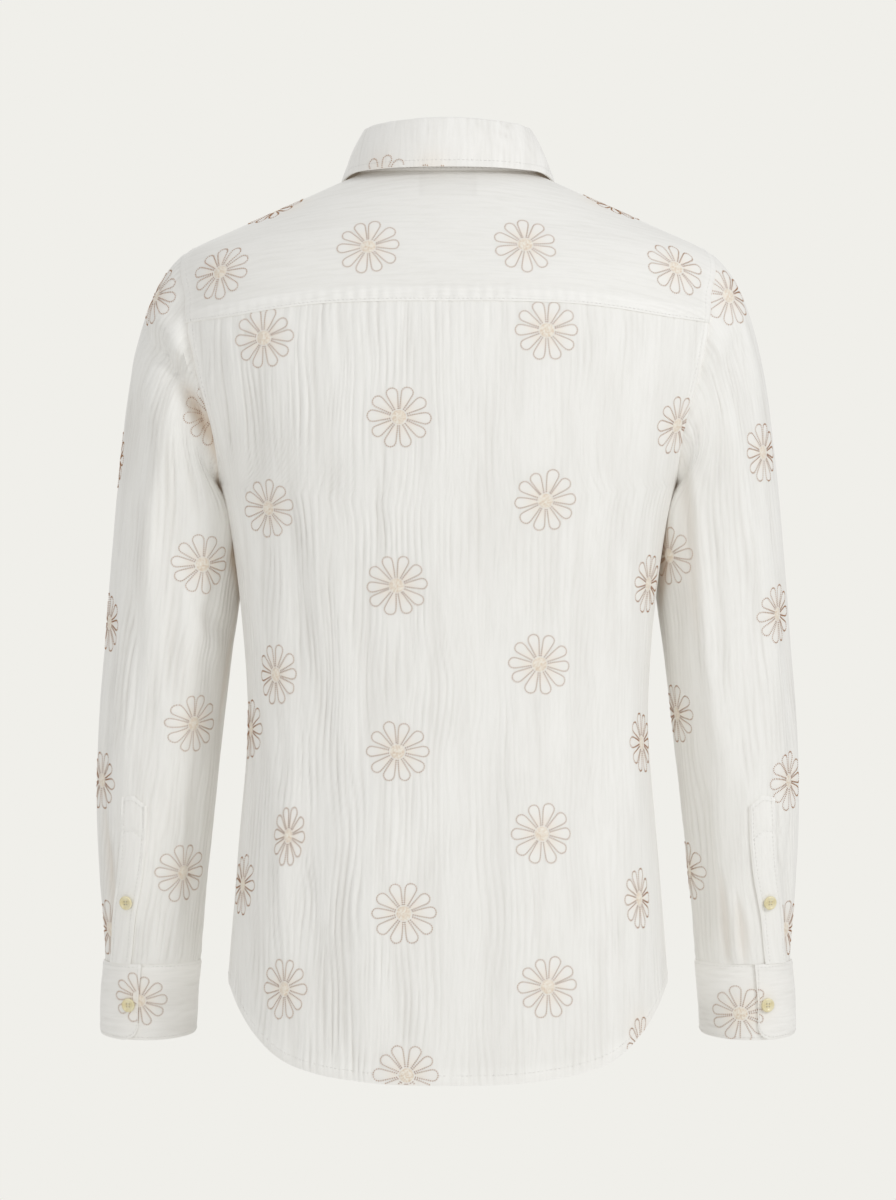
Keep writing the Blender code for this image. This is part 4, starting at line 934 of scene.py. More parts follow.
    def finish(self, seed, crinkles=1.0, ring_rows=None):
        """Adds the crinkles and raises the grid. The rows of a closed ring are joined."""
        across, along = (self.u, self.v) if self.grain == "along" else (self.v, self.u)
        if self.grain == "along" and len(across) > 2 * STEADY_ROWS:
            across = steadied(across, self.steady_rows)
            slide = np.abs(np.gradient(across, axis=0))
            self.calm *= 1 / (1 + (slide / CRINKLE_SLIDE) ** 3)
        height = crinkles * self.calm * crinkle(across, along, seed)
        self.rise += CRINKLE_HEIGHT * height
        # Painted shade: the deeper a crinkle's valley, the more its colour is darkened
        self.valley = np.clip(0.25 - height, 0, 1.2) / 1.2
        if ring_rows is not None:
            self.close_ring(ring_rows)
        self.points = self.base + self.normals * self.rise[..., None]
        return self


def quads_of(cloth):
    """A grid's faces, wound so that they face the way its normals do."""
    rows, columns = cloth.points.shape[:2]
    index = np.arange(rows * columns).reshape(rows, columns)
    quads = np.stack([index[:-1, :-1], index[:-1, 1:], index[1:, 1:], index[1:, :-1]], axis=-1)
    quads = quads.reshape(-1, 4)
    sample = cloth.points.reshape(-1, 3)[quads]
    normal = np.cross(sample[:, 1] - sample[:, 0], sample[:, 3] - sample[:, 0])
    outward = cloth.normals.reshape(-1, 3)[quads[:, 0]]
    return quads[:, ::-1] if (normal * outward).sum() < 0 else quads


def link(name, data):
    """A new object in the scene."""
    made = bpy.data.objects.new(name, data)
    bpy.context.scene.collection.objects.link(made)
    return made


def mark(mesh, title, values):
    """Stores a value at each point, which the materials read by its title."""
    attribute = mesh.attributes.new(title, "FLOAT", "POINT")
    attribute.data.foreach_set("value", np.concatenate(values).astype(np.float32))


def grid_mesh(name, cloths, wall, material, replaced, weld=False):
    """One shell of cloth over one grid, or over several that share an edge."""
    count, faces = 0, []
    for cloth in cloths:
        faces.append(quads_of(cloth) + count)
        count += cloth.rise.size
    quads = np.concatenate(faces)
    points = np.concatenate([cloth.points.reshape(-1, 3) for cloth in cloths])
    mesh = bpy.data.meshes.new(name)
    mesh.from_pydata(points.tolist(), [], quads.tolist())
    places = np.concatenate([np.stack([c.u, c.v], axis=-1).reshape(-1, 2) for c in cloths])
    if cloths[0].grain != "along":
        places = places[:, ::-1]
    layer = mesh.uv_layers.new(name="cloth")
    layer.data.foreach_set("uv", places[quads.reshape(-1)].astype(np.float32).reshape(-1))
    for title in ("layers", "blush", "ghost", "valley", "fold"):
        mark(mesh, title, [getattr(cloth, title).reshape(-1) for cloth in cloths])
    if weld:
        bm = bmesh.new()
        bm.from_mesh(mesh)
        bmesh.ops.remove_doubles(bm, verts=bm.verts, dist=WELD_DISTANCE)
        bm.to_mesh(mesh)
        bm.free()
    mesh.shade_smooth()
    mesh.materials.append(material)
    piece = link(name, mesh)
    shell = piece.modifiers.new("Wall", "SOLIDIFY")
    shell.thickness = wall
    shell.offset = 0.0
    bpy.context.view_layer.update()
    whole = piece.evaluated_get(bpy.context.evaluated_depsgraph_get())
    piece.data = bpy.data.meshes.new_from_object(whole)
    piece.modifiers.clear()
    piece.data.set_sharp_from_angle(angle=math.radians(SHARP_ANGLE))
    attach(piece, "root")
    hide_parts(replaced)


def needlework(name, points, faces, shades, material):
    """A piece of embroidery or sewing, with a shade at each of its points."""
    mesh = bpy.data.meshes.new(name)
    mesh.from_pydata(np.concatenate(points).tolist(), [], faces)
    mark(mesh, "shade", shades)
    mesh.shade_smooth()
    mesh.materials.append(material)
    piece = link(name, mesh)
    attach(piece, "root")


# A stitch's start and end are corners 0 and 1, and 2 to 5 are the ring round its middle
SPINDLE_FACES = np.array(
    [[0, 2, 3], [0, 3, 4], [0, 4, 5], [0, 5, 2], [1, 3, 2], [1, 4, 3], [1, 5, 4], [1, 2, 5]]
)


class Threads:
    """Many stitches in one mesh, each a slim spindle that lies on the cloth."""

    def __init__(self, name, width, height, material):
        self.name, self.width, self.height = name, width, height
        self.material = material
        self.points, self.faces, self.shades = [], [], []

    def add(self, start, end, up, shade):
        """start, end and up are arrays of points and directions, a row to each stitch."""
        if not len(start):
            return
        side = unit(np.cross(end - start, up)) * self.width / 2
        middle = (start + end) / 2
        top, under = up * self.height, up * self.height * 0.5
        ring = [middle + side, middle + top, middle - side, middle - under]
        corners = np.stack([start - under * 0.4, end - under * 0.4, *ring], axis=1)
        first = sum(len(p) for p in self.points) + np.arange(len(start))[:, None, None] * 6
        self.faces.append((first + SPINDLE_FACES).reshape(-1, 3))
        self.points.append(corners.reshape(-1, 3))
        self.shades.append(np.repeat(np.broadcast_to(shade, len(start)), 6))

    def build(self):
        if self.points:
            faces = np.concatenate(self.faces).tolist()
            needlework(self.name, self.points, faces, self.shades, self.material)


def petal_outline(count):
    """One petal's outline from the centre round its tip and back: (sideways, outward) in mm."""
    rounding = np.sin(np.linspace(0, np.pi / 2, 40))
    sides = np.linspace(PETAL_START, PETAL_WIDEST, 60)
    out = np.concatenate([sides, PETAL_WIDEST + (PETAL_END - PETAL_WIDEST) * rounding])
    taper = (out - PETAL_START) / (PETAL_WIDEST - PETAL_START)
    tip = np.clip((out - PETAL_WIDEST) / (PETAL_END - PETAL_WIDEST), 0, 1)
    half = PETAL_NECK + (PETAL_HALF_WIDTH - PETAL_NECK) * np.minimum(taper, 1) ** 0.9
    half = half * np.sqrt(1 - tip**2)
    path = np.concatenate([np.stack([-half, out], -1), np.stack([half, out], -1)[::-1]])
    run = run_along(path)
    even = np.linspace(0, run[-1], count + 1)
    return np.stack([np.interp(even, run, path[:, 0]), np.interp(even, run, path[:, 1])], axis=-1)


def rotated(points, degrees):
    a = math.radians(degrees)
    turn = np.array([[math.cos(a), -math.sin(a)], [math.sin(a), math.cos(a)]])
    return points @ turn.T


def embroider(cloth, outline, hearts, fills, rng):
    """Lays each of a panel's daisies on its raised surface. A seam or an edge cuts them off."""
    rows, columns = cloth.points.shape[:2]
    down_rows = np.gradient(cloth.base, axis=0)
    along_columns = np.gradient(cloth.base, axis=1)
    upward = 1 if cloth.v_up else -1
    face = cloth.wall / 2
    for i, j, turn, size, shift in cloth.daisies:
        place = (np.array([np.clip(i, 0, rows - 1)]), np.array([np.clip(j, 0, columns - 1)]))
        row_step = at_place(down_rows, *place)[0]
        column_step = at_place(along_columns, *place)[0]
        normal = unit(at_place(cloth.normals, *place)[0])
        up = unit(row_step * upward)
        across = np.cross(up, normal)
        basis = np.stack([column_step, row_step], axis=-1)
        to_grid = np.linalg.pinv(basis) @ np.stack([across, up], axis=-1)
        centre = at_place(cloth.base, *place)[0]

        def lay(flat, lift):
            goal = (flat * size + shift) / 1000
            step = goal @ to_grid.T
            gi, gj = i + step[..., 1], j + step[..., 0]
            for _ in range(12):
                reach = at_place(cloth.base, gi, gj) - centre
                seen = np.stack([reach @ across, reach @ up], axis=-1)
                length = np.linalg.norm(reach, axis=-1, keepdims=True)
                level = np.linalg.norm(seen, axis=-1, keepdims=True)
                step = (goal - seen * length / np.maximum(level, 1e-9)) @ to_grid.T
                gi, gj = gi + 0.5 * step[..., 1], gj + 0.5 * step[..., 0]
            inside_panel = (gi >= 0) & (gi <= rows - 1) & (gj >= 0) & (gj <= columns - 1)
            gi, gj = np.clip(gi, 0, rows - 1), np.clip(gj, 0, columns - 1)
            on = at_place(cloth.points, gi, gj)
            out = unit(at_place(cloth.normals, gi, gj))
            return on + out * lift, out, inside_panel

        for petal in range(PETALS):
            lean = turn + PETAL_STEP * (petal + 0.5) + rng.normal(0, PETAL_SWAY)
            grown = 1 + rng.normal(0, PETAL_GROWTH)
            path = petal_outline(PETAL_STITCHES) * grown
            path[:, 0] *= 1 + rng.normal(0, PETAL_BREADTH)
            path = rotated(path, lean)
            spots, out, within = lay(path, face + STITCH_LIFT)
            start = spots[:-1] * (1 - STITCH_GAP) + spots[1:] * STITCH_GAP
            end = spots[1:] * (1 - STITCH_GAP) + spots[:-1] * STITCH_GAP
            good = within[:-1] & within[1:]
            far = np.linalg.norm((path[:-1] + path[1:]) / 2, axis=-1)
            shade = 1 - ease((far - 6) / 11)
            outline.add(start[good], end[good], out[:-1][good], shade[good])
            # Where the fold's painted shade is deep, the petals' fills are left out, so the shaded
            # cloth shows in them
            if cloth.fold[int(place[0][0]), int(place[1][0])] < DEEP_FOLD_SHADE:
                ring = petal_outline(FILL_STITCHES)[:-1] * grown * (FILL_SHARE, 1)
                outward = np.linspace(CORE_START, CORE_END, CORE_POINTS) * grown
                core = np.stack([0 * outward, outward], axis=-1)
                fills.add(lay, rotated(ring, lean), rotated(core, lean), face)
        hearts.add(lay, face, rng)


class Relief:
    """Raised patches of one finish, joined in one mesh."""

    def __init__(self, name, material):
        self.name, self.material = name, material
        self.points, self.faces, self.shades = [], [], []
        self.count = 0

    def put(self, points, faces, shades):
        self.points.append(points)
        self.faces += [tuple(int(v) + self.count for v in face) for face in faces]
        self.shades.append(shades)
        self.count += len(points)

    def build(self):
        if self.points:
            needlework(self.name, self.points, self.faces, self.shades, self.material)


class Hearts(Relief):
    """The daisies' middles: low domes, dotted all over with small knots."""

    def add(self, lay, face, rng):
        rings, spokes = HEART_RINGS, HEART_SPOKES
        radius = HEART_RADIUS * np.linspace(0, 1, rings + 1)[1:, None] + np.zeros(spokes)
        angle = np.linspace(0, 2 * np.pi, spokes, endpoint=False)[None, :] + 0 * radius
        flat = np.stack([radius * np.cos(angle), radius * np.sin(angle)], axis=-1)
        flat = np.concatenate([[[0.0, 0.0]], flat.reshape(-1, 2)])
        away = np.linalg.norm(flat, axis=-1) / HEART_RADIUS
        across, up = (flat / KNOT_SIZE).T
        knots = noise(across + rng.uniform(0, 90), up, 7)
        height = HEART_HEIGHT * (1 - away**2.4) + KNOT_HEIGHT * knots * (1 - away**4)
        spots, out, within = lay(flat, 0.0)
        if not within.all():
            return
        points = spots + out * (face - 0.0001 + height)[:, None]
        index = np.arange(rings * spokes).reshape(rings, spokes) + 1
        after = np.roll(index, -1, axis=1)
        faces = [(0, a, b) for a, b in zip(index[0], after[0])]
        for low in range(rings - 1):
            faces += list(zip(index[low], index[low + 1], after[low + 1], after[low]))
        shades = 0.35 - 1.1 * knots + 0.55 * ease((away - 0.8) / 0.2)
        self.put(points, faces, np.clip(shades, 0, 1))


class Fills(Relief):
    """The petals' smooth insides, a thin raised patch to each."""

    def add(self, lay, ring, core, face):
        edge, _, within = lay(ring, face - 0.00004)
        inner, _, _ = lay(core, face + FILL_HEIGHT)
        if not within.all():
            return
        n = len(ring)
        far_ring = np.linalg.norm(ring, axis=-1)
        far_core = np.linalg.norm(core, axis=-1)
        nearest = np.abs(far_ring[:, None] - far_core[None]).argmin(axis=1)
        faces = []
        for k in range(n):
            m = (k + 1) % n
            faces.append((k, m, n + nearest[k]))
            if nearest[k] != nearest[m]:
                faces.append((m, n + nearest[m], n + nearest[k]))
        shades = 1 - ease((np.concatenate([far_ring, far_core]) - 6) / 13)
        self.put(np.concatenate([edge, inner]), faces, shades)


def nodes_of(name):
    made = bpy.data.materials.new(name)
    made.use_nodes = True
    tree = made.node_tree
    return made, tree, tree.nodes["Principled BSDF"]


def feed(tree, node, inputs):
    """Sets a node's inputs, or links them where another node's output is given."""
    for name, value in inputs.items():
        if isinstance(value, bpy.types.NodeSocket):
            tree.links.new(value, node.inputs[name])
        else:
            node.inputs[name].default_value = value


def add_node(tree, kind, inputs, output, **settings):
    """Adds a shader node and returns one of its outputs."""
    node = tree.nodes.new(kind)
    for name, value in settings.items():
        setattr(node, name, value)
    feed(tree, node, inputs)
    return node.outputs[output]


def marked(tree, title):
    """The value that mark() stored under a title."""
    return add_node(tree, "ShaderNodeAttribute", {}, "Fac", attribute_name=title)


def mixed(tree, share, first, second, way="MIX"):
    inputs = {"Factor": share, "A": first, "B": second}
    return add_node(tree, "ShaderNodeMix", inputs, "Result", data_type="RGBA", blend_type=way)


def bumped(tree, height, strength, distance, **below):
    inputs = {"Height": height, "Strength": strength, "Distance": distance, **below}
    return add_node(tree, "ShaderNodeBump", inputs, "Normal")


def cotton_material(name, single, doubled, rough=0.92):
    """Matt gauze: doubled cloth is whiter, with a weave and fine crinkles in its bump."""
    made, tree, shader = nodes_of(name)
    uv = add_node(tree, "ShaderNodeUVMap", {}, "UV", uv_map="cloth")
    stretched, even = (
        add_node(tree, "ShaderNodeMapping", {"Vector": uv, "Scale": scale}, "Vector")
        for scale in ((380.0, 34.0, 1.0), (1500.0, 1500.0, 1.0))
    )
    crinkles = {"Vector": stretched, "Scale": 1.0, "Detail": 3.0, "Distortion": 0.4}
    fine = add_node(tree, "ShaderNodeTexNoise", crinkles, "Fac")
    weave = add_node(tree, "ShaderNodeTexVoronoi", {"Vector": even, "Scale": 1.0}, "Distance")
    colour = mixed(tree, marked(tree, "layers"), (*single, 1), (*doubled, 1))
    # Laid on in turn: the daisies' peach, then the painted shade of the label, the crinkle valleys
    # and the folds
    for tint in TINTS:
        parts = {0: marked(tree, tint.title), 1: tint.most}
        amount = add_node(tree, "ShaderNodeMath", parts, "Value", operation="MULTIPLY")
        colour = mixed(tree, amount, colour, (*tint.colour, 1))
    span = {"Value": fine, "From Min": 0.45, "From Max": 0.75}
    slub = add_node(tree, "ShaderNodeMapRange", span, "Result")
    colour = mixed(tree, slub, colour, (*SLUB, 1), "MULTIPLY")
    relief = bumped(tree, fine, 0.55, 0.0006)
    inputs = {
        "Base Color": colour,
        "Roughness": rough,
        "Specular IOR Level": 0.25,
        "Sheen Weight": 0.12,
        "Sheen Roughness": 0.6,
        # Painted light: the cloth glows faintly warm everywhere, lifting its shade as if light came
        # through it
        "Emission Color": (*PAINTED_GLOW, 1),
        "Emission Strength": PAINTED_GLOW_STRENGTH,
        "Normal": bumped(tree, weave, 0.25, 0.0002, Normal=relief),
    }
    feed(tree, shader, inputs)
    return made


def cloudy(tree, scale, detail=2.0):
    """Noise that is fixed to the object."""
    place = add_node(tree, "ShaderNodeTexCoord", {}, "Object")
    inputs = {"Vector": place, "Scale": scale, "Detail": detail}
    return add_node(tree, "ShaderNodeTexNoise", inputs, "Fac")


def thread_material(name, light, dark, rough=0.6):
    """Twisted thread: its colour deepens with the stitch's shade."""
    made, tree, shader = nodes_of(name)
    inputs = {
        "Base Color": mixed(tree, marked(tree, "shade"), (*light, 1), (*dark, 1)),
        "Roughness": rough,
        "Sheen Weight": 0.15,
        "Normal": bumped(tree, cloudy(tree, 2600.0), 0.4, 0.0003),
    }
    feed(tree, shader, inputs)
    return made


def shell_material():
    """Glossy cream shell with soft clouds."""
    made, tree, shader = nodes_of("shell_button")
    ramp = tree.nodes.new("ShaderNodeValToRGB")
    dark, light = ramp.color_ramp.elements
    dark.position, dark.color = 0.3, (0.72, 0.62, 0.34, 1)
    light.position, light.color = 0.7, (0.86, 0.80, 0.56, 1)
    feed(tree, ramp, {"Fac": cloudy(tree, 260.0, 4.0)})
    inputs = {"Base Color": ramp.outputs["Color"], "Roughness": 0.28, "Coat Weight": 0.4}
    feed(tree, shader, inputs)
    return made


# Share of the button's radius and of its thickness, from the middle of its back over the rim
BUTTON_PROFILE = (
    (0.0, 0.0), (0.88, 0.0), (0.97, 0.16), (1.0, 0.45), (0.97, 0.78), (0.90, 0.97),
    (0.80, 1.0), (0.68, 0.92), (0.60, 0.72), (0.40, 0.66), (0.0, 0.64),
)
BUTTON_SPOKES = 32
HOLE_PLACE, HOLE_RADIUS, HOLE_SPOKES = 0.0011, 0.00052, 10


def circle(bm, radius, z, spokes, x=0.0, y=0.0):
    """New points round a circle, or a single one where the radius is nil."""
    angles = np.linspace(0, 2 * math.pi, spokes, endpoint=False) if radius else (0.0,)
    return [bm.verts.new((x + radius * math.cos(a), y + radius * math.sin(a), z)) for a in angles]


def make_button(node, place, out):
    """A dished button with four holes, each a dark disc of painted shade, and its sewing thread."""
    thick = BUTTON_THICKNESS
    bm = bmesh.new()
    rings = [
        circle(bm, BUTTON_RADIUS * share, height * thick, BUTTON_SPOKES)
        for share, height in BUTTON_PROFILE
    ]
    for low, high in zip(rings, rings[1:]):
        for k in range(BUTTON_SPOKES):
            m = (k + 1) % BUTTON_SPOKES
            around = ((low, k), (low, m), (high, m), (high, k))
            corners = [ring[spoke % len(ring)] for ring, spoke in around]
            bm.faces.new(list(dict.fromkeys(corners)))
    # The holes are flat dark discs laid on the dish: painted shade in place of cut holes
    for x in (-HOLE_PLACE, HOLE_PLACE):
        for y in (-HOLE_PLACE, HOLE_PLACE):
            hole = circle(bm, HOLE_RADIUS, thick * 0.66 + 0.00004, HOLE_SPOKES, x, y)
            bm.faces.new(hole).material_index = 1
    bmesh.ops.recalc_face_normals(bm, faces=[f for f in bm.faces if f.material_index == 0])
    name = node + "_dressed"
    mesh = bpy.data.meshes.new(name)
    bm.to_mesh(mesh)
    bm.free()
    mesh.shade_smooth()
    mesh.materials.append(SHELL)
    mesh.materials.append(HOLE_SHADE)
    piece = link(name, mesh)
    turn = Vector(out).to_track_quat("Z", "Y").to_matrix().to_4x4()
    piece.matrix_world = Matrix.Translation(Vector(place)) @ turn
    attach(piece, "root")
    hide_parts(node)
    to_world = np.array(turn.to_3x3()).T
    for y in (-HOLE_PLACE, HOLE_PLACE):
        ends = np.array([[-HOLE_PLACE, y, thick * 0.72], [HOLE_PLACE, y, thick * 0.72]])
        ends = ends @ to_world + np.array(place)
        sewing.add(ends[:1], ends[1:], np.array(out)[None], 0.0)


def sleeve_seat(turn, z, offset):
    """Where a button sits on the left sleeve, and the way it faces."""
    place, level_facing = sleeve_place(turn, z, offset)
    upward = sleeve_place(turn, z + 0.006, offset)[0] - sleeve_place(turn, z - 0.006, offset)[0]
    around = sleeve_place(turn + 7, z, offset)[0] - sleeve_place(turn - 7, z, offset)[0]
    out = unit(np.cross(around, upward))
    return place, out * np.sign((out * level_facing).sum())


def topstitch(cloth, edge, away, kept=slice(None)):
    """A row of stitches at a distance from an edge, or along a part of it."""
    i, j = (places[kept] for places in edge_places(cloth, edge, away))
    spots = at_place(cloth.points, i, j)
    out = unit(at_place(cloth.normals, i, j))
    run = run_along(spots)
    starts = np.arange(0, run[-1] - SEWING_LENGTH, SEWING_PITCH)

    def read_at(values, s):
        return np.stack([np.interp(s, run, values[:, k]) for k in range(3)], axis=-1)

    up = unit(read_at(out, starts + SEWING_LENGTH / 2))
    raised = up * (cloth.wall / 2 + SEWING_LIFT)
    ends = read_at(spots, starts + SEWING_LENGTH) + raised
    sewing.add(read_at(spots, starts) + raised, ends, up, 0.0)


def edge_places(cloth, edge, away):
    """Grid places that run along one edge, a distance in from it."""
    rows, columns = cloth.points.shape[:2]
    if edge in ("low", "high"):
        j = np.arange(columns, dtype=float)
        distance = cloth.from_edge(edge)
        order = distance if edge == "low" else distance[::-1]
        i = np.array([np.interp(away, order[:, int(c)], np.arange(rows)) for c in j])
        return (i, j) if edge == "low" else (rows - 1 - i, j)
    i = np.arange(rows, dtype=float)
    distance = cloth.from_edge(edge)
    order = distance if edge == "start" else distance[:, ::-1]
    j = np.array([np.interp(away, order[int(r)], np.arange(columns)) for r in i])
    return (i, j) if edge == "start" else (i, columns - 1 - j)


# A faint warm glow painted on all the cloth: painted light that stands in for what thin gauze lets
# through into its own folds
PAINTED_GLOW = (1.0, 0.78, 0.58)
PAINTED_GLOW_STRENGTH = 0.030
SLUB = (0.955, 0.955, 0.95)

# Colours laid over the cloth where a value is stored for them, and the most of each: the daisies'
# peach, then painted shade for the label seen through the yoke, the crinkles' valleys and the deep
# folds
Tint = namedtuple("Tint", "title colour most")
TINTS = (
    Tint("blush", (0.88, 0.815, 0.73), 0.5),
    Tint("ghost", (0.76, 0.755, 0.73), 0.5),
    Tint("valley", (0.725, 0.715, 0.685), 0.8),
    Tint("fold", (0.60, 0.48, 0.36), 0.75),
)
COTTON = cotton_material("crinkled_cotton", (0.872, 0.872, 0.850), (0.915, 0.915, 0.895))
FIRM = cotton_material("stiffened_cotton", (0.885, 0.882, 0.860), (0.915, 0.913, 0.893), 0.9)
TAPE = cotton_material("label_tape", (0.78, 0.77, 0.74), (0.8, 0.79, 0.76), 0.75)
ROSE = thread_material("rose_thread", (0.41, 0.205, 0.09), (0.32, 0.13, 0.042))
PETAL = thread_material("petal_cotton", (0.895, 0.878, 0.842), (0.895, 0.84, 0.765), 0.9)
CREAM = thread_material("cream_thread", (0.92, 0.88, 0.80), (0.74, 0.61, 0.47))
WHITE = thread_material("white_thread", (0.86, 0.85, 0.82), (0.80, 0.78, 0.74))
SHELL = shell_material()
HOLE_SHADE = thread_material("button_hole_shade", (0.34, 0.27, 0.16), (0.34, 0.27, 0.16))

SEWING_WIDTH, SEWING_HEIGHT = 0.00062, 0.00030
SEWING_LENGTH, SEWING_PITCH = 0.0026, 0.0034
SEWING_LIFT = 0.00006
sewing = Threads("topstitching", SEWING_WIDTH, SEWING_HEIGHT, WHITE)


def upright_axis(points):
    """The body's axis at each point's level, which the panels face away from."""
    return points * (0, 0, 1)


def sleeve_axis(points, side):
    return np.array([SLEEVE_AXIS[0] * side, SLEEVE_AXIS[1], 0]) + points * (0, 0, 1)


def make_back():
    places, corner = back_places(BACK_ROWS, BACK_HALF_COLUMNS)
    points = on_torso(places)
    cloth = Cloth(points, upright_axis(points), True)
    cloth.corner = corner
    around = run_along(points[..., :2].swapaxes(0, 1)).T
    cloth.u = around - around[:, BACK_HALF_COLUMNS : BACK_HALF_COLUMNS + 1]
    cloth.steady_rows = BACK_STEADY_ROWS
    cloth.add_daisies(BACK_DAISIES)
    cloth.add_creases(BACK_CREASES)
    cloth.seam("high")
    cloth.seam("low", HEM_WIDTH)
    for edge in ("start", "end"):
        cloth.seam(edge, SEAM_ALLOWANCE, ALLOWANCE_FLAT, slice(corner, None))
        cloth.seam(edge)
    below_yoke = cloth.from_edge("high")
    place = cloth.u + 0.002 * noise(cloth.u / 0.02, 0, 5)
    gathers = np.abs(np.sin(np.pi * place / GATHER_PITCH)) - 0.5
    near = np.exp(-below_yoke / GATHER_REACH) * ease(below_yoke / 0.004)
    cloth.rise += GATHER_HEIGHT * gathers * near
    cloth.tuck(-1, -2)
    return cloth.finish(11, 0.62 + 0.62 * ease((cloth.u + 0.02) / 0.11))


def make_front(side):
    places, corner = front_places(FRONT_ROWS, FRONT_NECK_COLUMNS, FRONT_SEAM_COLUMNS)
    points = on_torso(places if side > 0 else mirrored(places))
    cloth = Cloth(points, upright_axis(points), True)
    cloth.corner = corner
    if side < 0:
        cloth.rise += BAND_STEP * (1 - ease(cloth.u / BAND_BLEND))
    cloth.add_daisies(FRONT_DAISIES[side], behind=False)
    cloth.add_creases(FRONT_CREASES[side], behind=False)
    cloth.seam("high")
    cloth.seam("low", HEM_WIDTH)
    cloth.seam("start")
    cloth.seam("end", SEAM_ALLOWANCE, ALLOWANCE_FLAT, slice(corner, None))
    cloth.seam("end")
    cloth.tuck(-1, -2)
    return cloth.finish(36 - 5 * side)


def make_yoke(side):
    """One half of the yoke. The two halves share their middle line and are one piece of cloth."""
    places = yoke_places(YOKE_BACK_ROWS, YOKE_NECK_ROWS, YOKE_COLUMNS)
    points = on_torso(places if side > 0 else mirrored(places))
    cloth = Cloth(points, upright_axis(points) - (0, 0, 0.2), True, grain="across")
    cloth.normals[: YOKE_BACK_ROWS + 1, 0, 0] = 0
    cloth.normals = unit(cloth.normals)
    cloth.add_daisies([daisy for daisy in YOKE_DAISIES if daisy.x * side > 0])
    x, z = np.abs(points[..., 0]), points[..., 2]
    # The label inside shows through the thin yoke as a patch of painted shade, darker along its
    # sides
    rim = 0.55 + 0.45 * np.exp(-(((LABEL_HALF_WIDTH - x) / 0.004) ** 2))
    cloth.ghost = rim * ease((LABEL_HALF_WIDTH - x) / 0.002) * ease((z - LABEL_BOTTOM) / 0.003)
    cloth.seam("low", SEAM_ALLOWANCE + 0.001)
    cloth.seam("high")
    cloth.seam("end", SEAM_ALLOWANCE, ALLOWANCE_FLAT)
    cloth.seam("start", 0, ALLOWANCE_FLAT, slice(YOKE_BACK_ROWS + 1, None))
    above = cloth.from_edge("low")
    place = cloth.u * side
    puckers = np.sin(2 * np.pi * (place + 0.003 * noise(place / 0.02, 0, 8)) / PUCKER_PITCH)
    strength = 0.55 + 0.45 * noise(place / 0.03, 2, 9)
    near = np.exp(-(((above - PUCKER_PLACE) / 0.006) ** 2)) * ease(above / 0.003)
    cloth.rise += PUCKER_HEIGHT * strength * puckers * near
    cloth.u = points[..., 0]
    cloth.v = 1.1 * points[..., 2] - 0.45 * points[..., 1]
    return cloth.finish(21, 0.22)


def make_sleeve(side):
    points = sleeve_grid(SLEEVE_CAP_ROWS, SLEEVE_LOWER_ROWS, SLEEVE_COLUMNS) * (side, 1, 1)
    cloth = Cloth(points, inside(points), False)
    seam_column = round((180 - SLIT_FAR_TURN) / 360 * SLEEVE_COLUMNS)
    from_seam = np.abs(cloth.across - cloth.across[:, seam_column : seam_column + 1])
    cloth.calm *= ease(from_seam / 0.005)
    before_seam = np.arange(SLEEVE_COLUMNS + 1) <= seam_column
    cloth.u = np.where(before_seam, cloth.across, cloth.across - cloth.across[:, -1:])
    cloth.add_daisies(SLEEVE_DAISIES[side])
    cloth.add_daisies(SLEEVE_FRONT_DAISIES[side], behind=False)
    cloth.add_creases(SLEEVE_CREASES[side])
    cloth.add_creases(SLEEVE_FRONT_CREASES[side], behind=False)
    cloth.rise *= ease((cloth.from_edge("low") - 0.001) / 0.007)
    above_cuff = cloth.from_edge("high")
    place = cloth.u + 0.004 * noise(cloth.u / 0.03, 0, 9 + side)
    strength = np.clip(noise(cloth.u / 0.05, 3, 17 + side) + 0.3, 0, 1)
    gathers = strength * np.sin(2 * np.pi * place / WRIST_PITCH)
    cloth.rise += WRIST_HEIGHT * gathers * np.exp(-above_cuff / WRIST_REACH)
    cloth.rise *= ease((above_cuff + 0.003) / 0.006)
    cloth.seam("low")
    cloth.seam("high")
    cloth.tuck(0, 2)
    whole = slice(0, int((points[:, 0, 2] > SLIT_TOP - 0.002).sum()))
    return cloth.finish(61 - 10 * side, SLEEVE_CRINKLE[side], whole)


def make_cuff(side):
    turns = np.linspace(CUFF_UNDER_END, 360 + CUFF_OVER_END, CUFF_COLUMNS)
    step = CUFF_STEP * (2 * ease((turns - 96) / 120) - 1)
    run = run_along(sleeve_ring(turns, CUFF_BOTTOM + 0 * turns))
    corner = np.clip(1 - np.minimum(run, run[-1] - run) / CUFF_CORNER, 0, 1)
    lift = CUFF_CORNER * (1 - np.sqrt(1 - corner**2)) * 0.9
    dip = CUFF_DIP * np.maximum(np.sin(np.radians(turns)), 0)
    share = np.linspace(0, 1, CUFF_ROWS)[:, None]
    level = CUFF_TOP + (CUFF_BOTTOM - dip + lift - CUFF_TOP) * share
    points = sleeve_ring(turns, level) * (side, 1, 1)
    cloth = Cloth(points, inside(points), False, grain="across")
    cloth.base = points + cloth.normals * step[None, :, None]
    cloth.layers[:] = 0.6
    cloth.add_daisies(CUFF_DAISIES[side])
    cloth.add_daisies(CUFF_FRONT_DAISIES[side], behind=False)
    lap = LAP_DAISY[side]
    cloth.add_daisy(lap.row, CUFF_COLUMNS - 1.0, lap.turn, lap.size, lap.aside)
    for edge in ("low", "high", "start", "end"):
        cloth.still(edge)
        cloth.groove(edge, 0.0005, 0.0012)
    return cloth.finish(86 - 5 * side, 0.55)


